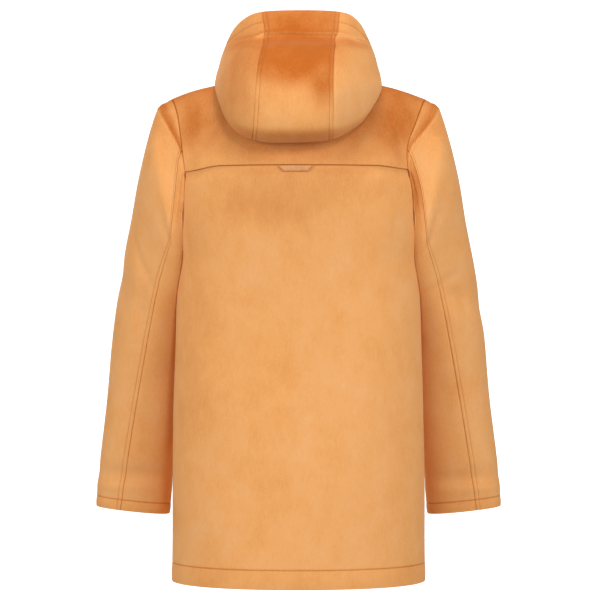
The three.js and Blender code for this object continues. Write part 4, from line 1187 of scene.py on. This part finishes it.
def grained_leather(name, light, dark, polish):
    """Dyed cow leather, drum-dyed and waxed: a fine pebble grain with darker hollows."""
    material, tree = new_material(name)
    space = texture_space(tree, 1.1, 1.1, 1.1)
    pebbles = add_node(tree, "ShaderNodeTexVoronoi", {"feature": "SMOOTH_F1", "Scale": 1.0},
                       {"Vector": (space, "Vector")})
    stain = noise(tree, (14, 14, 14), 3.0)
    depth = add_scaled(tree, (stain, "Fac"), 0.6, (pebbles, "Distance"))
    tint = ramp(tree, (depth, 0), [(0.15, light), (0.95, dark)])
    grain = relief_node(tree, (pebbles, "Distance"), 0.3, 0.0002, invert=True)
    finish_material(tree, {"Roughness": polish, "IOR": 1.5, "Coat Weight": 0.08, "Coat Roughness": 0.35},
                    {"Base Color": (tint, "Color"), "Normal": (grain, "Normal")})
    return material


def polished_horn():
    """Cast horn, turned and polished: dark and glossy, with lighter streaks along it."""
    tones = bpy.context.scene.coat_colours
    material, tree = new_material("Turned polished horn")
    streaks = noise(tree, (26, 2.6, 2.6), 4.0, 0.6)
    clouds = noise(tree, (9, 9, 9), 2.0)
    level = add_scaled(tree, (clouds, "Fac"), 0.5, (streaks, "Fac"))
    tint = ramp(tree, (level, 0), [(0.38, tones.horn[:]), (0.75, tones.horn_streak[:])])
    scratches = relief_node(tree, (streaks, "Fac"), 0.06, 0.0002)
    finish_material(tree, {"Roughness": 0.28, "IOR": 1.55, "Coat Weight": 0.4, "Coat Roughness": 0.12},
                    {"Base Color": (tint, "Color"), "Normal": (scratches, "Normal")})
    return material


def paper(name, glow):
    """Matte seamless paper: even and pale, with a faint fibre; glow lights it from behind."""
    stage = bpy.context.scene.coat_stage
    tone = stage.paper[:] if glow else stage.floor_paper[:]
    material, tree = new_material(name)
    fibre = noise(tree, (3, 3, 3), 2.0)
    tint = ramp(tree, (fibre, "Fac"), [(0.4, shade(tone, 0.985)), (0.6, tone)])
    finish_material(tree, {"Roughness": 0.95, "Emission Color": tone, "Emission Strength": glow},
                    {"Base Color": (tint, "Color")})
    return material


# ---------------------------------------------------------------- making the pieces


# Nap of each panel, from rubbed up and pale (0) to brushed down and deep (1)
NAP = {
    "back_panel": 0.26, "yoke": 0.36, "front_left": 0.3, "front_right": 0.3,
    "sleeve_left_upper": 0.23, "sleeve_left_under": 0.27,
    "sleeve_right_upper": 0.23, "sleeve_right_under": 0.27,
    "hood_centre": 0.3, "hood_left": 0.36, "hood_right": 0.22,
}
# Soft patches of darker wool: middle, reach along x, y and z, and strength. Some are painted shade, as
# marked.
NAP_AND_SHADE_PATCHES = {
    "back_panel": [
        ((0, 118, -180), (170, 90, 48), 0.12), ((160, 80, -430), (44, 90, 170), 0.12),
        ((64, 118, -210), (60, 60, 22), 0.14), ((40, 118, -470), (60, 60, 60), 0.08),
    ],
    # Painted shadow under the hood and just beneath its lower edge, and darker patches at both shoulders
    "yoke": [
        ((168, 70, -72), (18, 70, 38), 0.5), ((-156, 84, -70), (28, 70, 44), 0.75),
        ((70, 110, -118), (50, 40, 16), 0.12), ((-30, 110, -128), (60, 40, 12), 0.1),
        ((0, 84, -64), (98, 60, 48), 0.6),
    ],
    # Painted shade beside the armhole, where the sleeve meets the body
    "sleeve_left_under": [((196, 60, -182), (12, 50, 40), 0.25)],
    "sleeve_right_under": [((-184, 60, -178), (20, 50, 46), 0.6)],
    # Painted shade where the middle strip faces up below the crease and along the rim, with smaller
    # darker blotches
    "hood_centre": [
        ((2, 150, 27), (76, 60, 48), 1.05), ((-38, 178, -28), (18, 60, 24), 0.6),
        ((20, 176, -4), (34, 60, 18), 0.25), ((-12, 160, 14), (26, 60, 16), 0.3),
        ((0, 100, 85), (90, 60, 30), 0.4),
    ],
    "hood_left": [((100, 130, -24), (26, 60, 50), 0.3)],
}
# How much painted shade darkens the wool where the cloth faces up or turns under, and between which
# slopes
SHADE_UP, SHADE_UP_SLOPES, SHADE_UNDER, SHADE_UNDER_SLOPES = 0.62, (0.08, 0.85), 0.42, (0.3, 0.95)
# How much darker the wool is over a hem, and how much painted shade darkens the stitch channels of a hem
# and of a seam
HEM_DARKENING, HEM_STITCH_SHADE, SEAM_STITCH_SHADE = 0.05, 0.4, 0.12
# Gap between stitches and how far they arch, in millimetres
STITCH_GAP, STITCH_ARCH = 0.8, 0.12
# Closer points for the sleeves and for the hood's strip, as shares of their settings
SLEEVE_GRID, STRIP_GRID = 0.7, 0.66


def nap_and_shade_of(name, points, normals):
    """Nap tone of each point of a panel, with painted shade where it faces up or turns under, and soft
    patches, some of them painted shade.
    """
    value = NAP[name] + SHADE_UP * ease(*SHADE_UP_SLOPES, normals[..., 2])
    value = value + SHADE_UNDER * ease(*SHADE_UNDER_SLOPES, -normals[..., 2])
    for centre, size, amount in NAP_AND_SHADE_PATCHES.get(name, []):
        off = (points - np.array(centre)) / np.array(size)
        value = value + amount * np.exp(-np.sum(off**2, axis=-1))
    return value


def cloth_piece(name, form, edges, spacing):
    """Makes one cloth panel with its stitching, standing for the node of its name."""
    cut = bpy.context.scene.coat_cut
    points, normals, nap, distances = panel(form, edges, spacing)
    points = settle(points)
    relief = ripple(points)
    # The nap's tone, with painted shade where the cloth faces up or turns under and in the shaded
    # patches
    nap = np.tanh(nap + nap_and_shade_of(name, points, normals))
    for edge, distance in zip(edges, distances):
        relief = relief + edge.relief(distance)
        # Painted shade in the groove along the seam
        nap = nap + edge.shade * bump(distance, 0.9)
        if edge.hem:
            nap = nap + HEM_DARKENING * (1 - ease(edge.stitch - 2, edge.stitch + 2, distance))
        # Painted shade in the channel under the stitches
        if edge.stitch:
            depth = HEM_STITCH_SHADE if edge.hem else SEAM_STITCH_SHADE
            nap = nap + depth * bump(distance - edge.stitch, 1.1)
    vertices, faces, outer = shell(points, normals, distances, relief, CLOTH)
    values = np.concatenate([nap.ravel(), np.full(nap[1:-1, 1:-1].size, NAP[name])])
    piece = fit(make_object(f"{name}_cloth", vertices, faces, brushed_wool(), values), "wool", name)

    rows, columns = (outer, normals), (outer.swapaxes(0, 1), normals.swapaxes(0, 1))
    radius, parts = cut.thread / MM / 2, []
    for edge, grids, far in zip(edges, (rows, rows, columns, columns), (False, True, False, True)):
        if edge.stitch:
            line, up = (grid[-1 - edge.stitch_row if far else edge.stitch_row] for grid in grids)
            parts.append(lay_stitches(line, up, cut.stitch / MM, STITCH_GAP, radius, STITCH_ARCH))
    sewn = []
    if parts:
        stitches = make_object(f"{name}_topstitch", *join_parts(parts), spun_thread())
        sewn = [fit(stitches, "wool")]
    along = lengths_along(points)[-1].max() * MM
    across = lengths_along(points.swapaxes(0, 1))[-1].max() * MM
    a = np.diff(points, axis=0)[:, :-1]
    b = np.diff(points, axis=1)[:-1]
    area = np.linalg.norm(np.cross(a, b), axis=-1).sum() * MM**2
    # A fan-shaped panel bends as it goes round, so its cut is narrower than its longest line
    across = min(across, area / (FAN_SHARE * along))


class COAT_OT_body(bpy.types.Operator):
    """Cuts the back panel, the yoke and both fronts, and sews their hems"""

    bl_idname = "coat.body"
    bl_label = "Body"

    def execute(self, context):
        cut = context.scene.coat_cut
        spacing = cut.grid / MM
        hem = Edge(stitch=cut.hem / MM, hem=True)
        edge, form = Edge(shade=0.35), body()
        lap = Edge(shade=0.75)
        fly = Edge(stitch=cut.front_edge / MM)
        cloth_piece("back_panel", form["back"], (hem, edge, edge, edge), spacing)
        cloth_piece("yoke", form["yoke"], (lap, edge, edge, edge), spacing)
        cloth_piece("front_left", form["left"], (hem, edge, fly, edge), spacing)
        cloth_piece("front_right", form["right"], (hem, edge, edge, edge), spacing)
        return {"FINISHED"}


class COAT_OT_sleeves(bpy.types.Operator):
    """Cuts the upper and the under sleeve of both arms, with their cuffs"""

    bl_idname = "coat.sleeves"
    bl_label = "Sleeves"

    def execute(self, context):
        cut = context.scene.coat_cut
        spacing = cut.grid / MM * SLEEVE_GRID
        cuff = Edge(stitch=cut.cuff / MM, hem=True)
        seam, head = Edge(shade=0.3), Edge(shade=0.45)
        sewn = Edge(stitch=cut.topstitch / MM, shade=0.3)
        for side in ("left", "right"):
            upper, under = sleeve_forms(side)
            seams = (seam, sewn) if side == "left" else (sewn, seam)
            cloth_piece(f"sleeve_{side}_upper", upper, (cuff, head, *seams), spacing)
            cloth_piece(f"sleeve_{side}_under", under, (cuff, head, seam, seam), spacing)
        return {"FINISHED"}


class COAT_OT_hood(bpy.types.Operator):
    """Cuts the three panels of the hood, lying back on the shoulders"""

    bl_idname = "coat.hood"
    bl_label = "Hood"

    def execute(self, context):
        cut = context.scene.coat_cut
        spacing = cut.hood_grid / MM
        neck, seam, free = Edge(), Edge(shade=0.05), Edge()
        sewn = Edge(stitch=cut.topstitch / MM, shade=0.05)
        rim = Edge(stitch=cut.rim / MM)
        left, centre, right = hood_forms()
        cloth_piece("hood_centre", centre, (neck, free, sewn, sewn), spacing * STRIP_GRID)
        cloth_piece("hood_left", left, (neck, rim, free, seam), spacing)
        cloth_piece("hood_right", right, (neck, rim, seam, free), spacing)
        return {"FINISHED"}


class COAT_OT_hanger(bpy.types.Operator):
    """Sets the hanger loop under the yoke's edge"""

    bl_idname = "coat.hanger"
    bl_label = "Hanger loop"

    def execute(self, context):
        tones = context.scene.coat_colours
        rise, share = np.linspace(0, 1, 9)[:, None], np.linspace(-1, 1, 31)
        x = HANGER_MIDDLE - mix(HANGER_BOTTOM, HANGER_TOP, rise) * share
        z = YOKE_LINE - HANGER_BELOW - HANGER_TALL * (1 - rise) + 0 * x
        turn = np.degrees(np.arcsin((np.abs(x) / body_width("side", z)) ** (ROUNDNESS / 2)))
        grid = inset_torso(z, np.sign(x) * turn, -HANGER_THICK + HANGER_GAP + 0 * x)
        points, normals, _, distances = panel((grid, grid_normals(grid)), [Edge()] * 4, 1.2)
        crown = 0.35 * ease(0, 4, np.minimum(distances[0], distances[1]))
        vertices, faces, _ = shell(points, normals, distances, crown, HANGER_THICK)
        material = grained_leather("Smooth dyed leather", tones.leather[:], tones.leather_dark[:], 0.5)
        fit(make_object("hanger_loop_leather", vertices, faces, material), "trim", "hanger_loop")
        return {"FINISHED"}


# ---------------------------------------------------------------- toggle fastenings


@functools.cache
def front_tree(side):
    """Search tree of one front's outer surface."""
    grid = front_left_grid() if side > 0 else front_right_grid()
    rows, columns = grid.shape[:2]
    index = np.arange(rows * columns).reshape(rows, columns)
    return BVHTree.FromPolygons(grid.reshape(-1, 3).tolist(), quads(index).tolist())


def on_front(x, z, lift):
    """Point lifted off the cloth of the fronts at a given x and height."""
    on_right = x < -FRONT_LAP - LAP_EASE * 0.8
    flip = -1 if x < -FRONT_LAP and not on_right else 1
    found = front_tree(-1 if on_right else 1).ray_cast(Vector((flip * x, -400, z)), Vector((0, 1, 0)))
    if found[0] is None:
        raise RuntimeError(f"no cloth of the fronts at x {x:.0f}, z {z:.0f}")
    normal = np.array(found[1]) * (-1 if found[1].y > 0 else 1)
    point = np.array(found[0]) + normal * lift
    return np.array([flip * point[0], point[1], point[2]])


def patch_outline_half(height, half, corner):
    """Half width lost to the rounded corners at a height from the middle of a patch."""
    beyond = np.clip(np.abs(height) - (half - corner), 0, corner)
    return corner - np.sqrt(corner**2 - beyond**2)


def make_patch(name, z, side, material):
    """Leather patch with round corners and a line of stitches inside its edge."""
    middle, half_wide = side * (PATCH_INNER + PATCH_OUTER) / 2, (PATCH_OUTER - PATCH_INNER) / 2
    heights = np.linspace(-PATCH_HALF, PATCH_HALF, 25)
    face = PATCH_GAP + PATCH_THICK
    grid = np.array([[
        on_front(middle + share * (half_wide - patch_outline_half(height, PATCH_HALF, PATCH_CORNER)),
                 z + height, face)
        for share in np.linspace(-1, 1, 31)] for height in heights])
    points, normals, _, distances = panel((grid, grid_normals(grid)), [Edge()] * 4, 1.6)
    dent = -0.3 * bump(np.min(distances, axis=0) - PATCH_STITCH, 0.7)
    vertices, faces, _ = shell(points, normals, distances, dent, PATCH_THICK)
    fit(make_object(f"{name}_leather", vertices, faces, material), "trim", name)
    turn = np.radians(np.arange(0, 361, 4))
    corner = PATCH_CORNER - PATCH_STITCH / 2
    wide, tall = half_wide - PATCH_STITCH - corner, PATCH_HALF - PATCH_STITCH - corner
    path = [(middle + np.sign(np.cos(t)) * wide + corner * np.cos(t),
             z + np.sign(np.sin(t)) * tall + corner * np.sin(t)) for t in turn + 0.01]
    path = np.array(path)
    fine = np.linspace(0, len(path) - 1, 12 * len(path))
    ring = np.stack([np.interp(fine, np.arange(len(path)), path[:, k]) for k in (0, 1)], axis=-1)
    low = np.array([on_front(x, height, face - 0.25) for x, height in ring])
    high = np.array([on_front(x, height, face + 0.75) for x, height in ring])
    stitches = lay_stitches(low, high - low, 2.6, 0.8, 0.3, 0.2)
    fit(make_object(f"{name}_stitches", *stitches, spun_thread()), "trim")


def tube(points, radius, sides=14):
    """Round cord along a smooth path, closed at both ends."""
    steps = np.linalg.norm(np.diff(points, axis=0), axis=1) ** 0.5
    reach = np.concatenate([[0], np.cumsum(steps)])
    line = smooth(reach, points, np.linspace(0, reach[-1], 12 * len(points)))
    forward = unit(np.gradient(line, axis=0))
    side = unit(np.cross(forward, [0, 0.37, 0.93]))
    up = np.cross(side, forward)
    turn = np.arange(sides) * 2 * np.pi / sides
    ends = np.minimum(np.arange(len(line)), np.arange(len(line))[::-1])
    thick = radius * np.sqrt(1 - (1 - np.minimum((ends + 0.35) / 2.35, 1)) ** 2)
    rings = line[:, None] + thick[:, None, None] * (
        side[:, None] * np.cos(turn)[:, None] + up[:, None] * np.sin(turn)[:, None])
    index = np.arange(rings.shape[0] * sides).reshape(-1, sides)
    faces = ring_quads(index)[:, [0, 3, 2, 1]].tolist()
    return rings.reshape(-1, 3), faces + [index[0].tolist(), index[-1][::-1].tolist()]


def make_cord(name, points, material):
    """A cord along a path, standing for the node of its name."""
    vertices, faces = tube(np.array(points), CORD_RADIUS)
    fit(make_object(f"{name}_lace", vertices, faces, material), "cord", name)


def make_toggle(name, z, material):
    """Barrel toggle, turned round an axis that lies across the front."""
    along = np.concatenate([-np.array(TOGGLE_PROFILE["along"])[::-1], TOGGLE_PROFILE["along"][1:]])
    radius = np.concatenate([TOGGLE_PROFILE["radius"][::-1], TOGGLE_PROFILE["radius"][1:]])
    sides = 40
    places = np.unique(np.concatenate([np.linspace(along[1], along[-2], 60), along[1:-1]]))
    curved, straight = np.maximum(smooth(along, radius, places), 0.4), np.interp(places, along, radius)
    rings = (curved + straight) / 2
    turn = np.arange(sides) * 2 * np.pi / sides
    seat = on_front(0, z, TOGGLE_SEAT)
    rings = rings[:, None]
    points = place(places[:, None] + 0 * turn, rings * np.cos(turn), rings * np.sin(turn))
    tips = np.array([[along[0], 0, 0], [along[-1], 0, 0]])
    vertices = np.vstack([points.reshape(-1, 3), tips]) + seat
    index = np.arange(len(places) * sides).reshape(-1, sides)
    faces = ring_quads(index).tolist()
    first, last = index.size, index.size + 1
    faces += [[first, int(m), int(n)] for n, m in zip(index[0], np.roll(index[0], -1))]
    faces += [[last, int(n), int(m)] for n, m in zip(index[-1], np.roll(index[-1], -1))]
    fit(make_object(f"{name}_horn", vertices, faces, material), "toggle", name)


class COAT_OT_toggles(bpy.types.Operator):
    """Fastens the front with four toggles, their cords and loops, and leather patches"""

    bl_idname = "coat.toggles"
    bl_label = "Toggles"

    def execute(self, context):
        tones = context.scene.coat_colours
        leather = grained_leather("Grained dyed leather", tones.leather[:], tones.leather_dark[:], 0.55)
        lace = grained_leather("Rolled leather cord", tones.cord[:], shade(tones.cord, 0.6), 0.5)
        horn = polished_horn()
        for number, z in enumerate(TOGGLE_HEIGHTS, 1):
            make_patch(f"toggle_patch_{number}", z, -1, leather)
            make_patch(f"loop_patch_{number}", z, 1, leather)
            cord = [on_front(x, z, lift) for x, lift in CORD_PATH]
            make_cord(f"toggle_cord_{number}", cord, lace)
            upper, lower = ([on_front(x, z + side * LOOP_HALF, lift) for x, lift in LOOP_PATH]
                            for side in (1, -1))
            bend = [
                on_front(-4 - LOOP_HALF * np.cos(turn), z - LOOP_HALF * np.sin(turn) * 1.2, LOOP_RISE)
                for turn in np.radians([-45, 0, 45])
            ]
            make_cord(f"toggle_loop_{number}", [*upper, *bend, *lower[::-1]], lace)
            make_toggle(f"toggle_{number}", z, horn)
        return {"FINISHED"}


# ---------------------------------------------------------------- stage


def soft_light(name, size, power, at, target):
    """A square area light that points at a target."""
    data = bpy.data.lights.new(name, "AREA")
    data.shape, data.size, data.size_y, data.energy = "RECTANGLE", size, size, power
    lamp = bpy.data.objects.new(name, data)
    lamp.location = at
    lamp.rotation_euler = (Vector(target) - Vector(at)).to_track_quat("-Z", "Y").to_euler()
    bpy.context.scene.collection.objects.link(lamp)


def flat_stage(name, corners, material):
    """One flat face of the studio from its corners in metres."""
    mesh = bpy.data.meshes.new(name)
    mesh.from_pydata(np.asarray(corners).tolist(), [], [list(range(len(corners)))])
    mesh.materials.append(material)
    face = bpy.data.objects.new(name, mesh)
    bpy.context.scene.collection.objects.link(face)


# Height of the coat's middle, and the floor and backdrop of the studio, in metres
MIDDLE = -0.352
FLOOR_RADIUS, FLOOR_Z, BACKDROP_HALF, BACKDROP_Y = 3.0, -1.35, 2.2, -6.0
# Soft lights: name, setting and share of it, size, place and height of the target, in metres
LIGHTS = [
    ("key", "key", 1.0, 0.5, (-0.6, 3.35, 1.2), MIDDLE),
    ("left", "fill", 1.1, 2.0, (3.0, 2.6, 0.5), MIDDLE),
    ("right", "fill", 1.0, 2.0, (-3.0, 2.6, 0.5), MIDDLE),
    ("top", "top", 1.0, 1.1, (0, 0.7, 1.9), 0),
    ("front", "front", 1.0, 2.4, (1.2, -3.4, 0.4), MIDDLE),
]
# Width of the picture at the coat, and how far the camera stands to one side, in metres
PICTURE_WIDTH, CAMERA_X = 0.96, -0.0024


class COAT_OT_stage(bpy.types.Operator):
    """Sets up the floor, the lit backdrop, the soft lights and the camera"""

    bl_idname = "coat.stage"
    bl_label = "Stage"

    def execute(self, context):
        scene, stage = context.scene, context.scene.coat_stage
        turn = np.linspace(0, 2 * np.pi, 96, endpoint=False)
        floor = place(FLOOR_RADIUS * np.cos(turn), FLOOR_RADIUS * np.sin(turn), FLOOR_Z)
        flat_stage("floor", floor, paper("Matte seamless paper", 0.0))
        backdrop = [(x * BACKDROP_HALF, BACKDROP_Y, MIDDLE + z * BACKDROP_HALF)
                    for x, z in ((-1, 1), (1, 1), (1, -1), (-1, -1))]
        flat_stage("backdrop", backdrop, paper("Backlit seamless paper", 1.0))
        for name, setting, share, size, at, target in LIGHTS:
            soft_light(name, size, getattr(stage, setting) * share, at, (0, 0, target))
        world = bpy.data.worlds.new("studio")
        world.use_nodes = True
        background = world.node_tree.nodes["Background"]
        background.inputs["Color"].default_value = (1, 1, 1, 1)
        background.inputs["Strength"].default_value = stage.room
        scene.world = world
        scene.view_settings.view_transform = "Standard"

        data = bpy.data.cameras.new("camera")
        data.sensor_width = 36
        data.lens = data.sensor_width * stage.distance / PICTURE_WIDTH
        data.clip_end = 50
        camera = bpy.data.objects.new("camera", data)
        camera.location = (CAMERA_X, stage.distance, MIDDLE)
        camera.rotation_euler = (np.pi / 2, 0, np.pi)
        scene.collection.objects.link(camera)
        scene.camera = camera
        return {"FINISHED"}


class COAT_PT_panel(bpy.types.Panel):
    """Lists the steps that dress the coat, and its settings"""

    bl_label = "Duffle coat"
    bl_idname = "COAT_PT_panel"
    bl_space_type = "VIEW_3D"
    bl_region_type = "UI"
    bl_category = "Coat"

    def draw(self, context):
        for step in STEPS:
            self.layout.operator(step.bl_idname)
        for group in (context.scene.coat_cut, context.scene.coat_colours, context.scene.coat_stage):
            box = self.layout.box()
            for name in group.__annotations__:
                box.prop(group, name)


SETTINGS = {"coat_cut": CoatCut, "coat_colours": CoatColours, "coat_stage": CoatStage}
STEPS = (COAT_OT_body, COAT_OT_sleeves, COAT_OT_hood, COAT_OT_hanger, COAT_OT_toggles, COAT_OT_stage)


def register():
    """Adds the classes and the settings."""
    for item in (*SETTINGS.values(), *STEPS, COAT_PT_panel):
        bpy.utils.register_class(item)
    for name, group in SETTINGS.items():
        setattr(bpy.types.Scene, name, bpy.props.PointerProperty(type=group))


def unregister():
    """Takes the settings and the classes out again."""
    for name in SETTINGS:
        delattr(bpy.types.Scene, name)
    for item in reversed((*SETTINGS.values(), *STEPS, COAT_PT_panel)):
        bpy.utils.unregister_class(item)


def main():
    """Builds the whole scene."""
    register()
    bpy.ops.coat.body()
    bpy.ops.coat.sleeves()
    bpy.ops.coat.hood()
    bpy.ops.coat.hanger()
    bpy.ops.coat.toggles()
    bpy.ops.coat.stage()


if __name__ == "__main__":
    main()
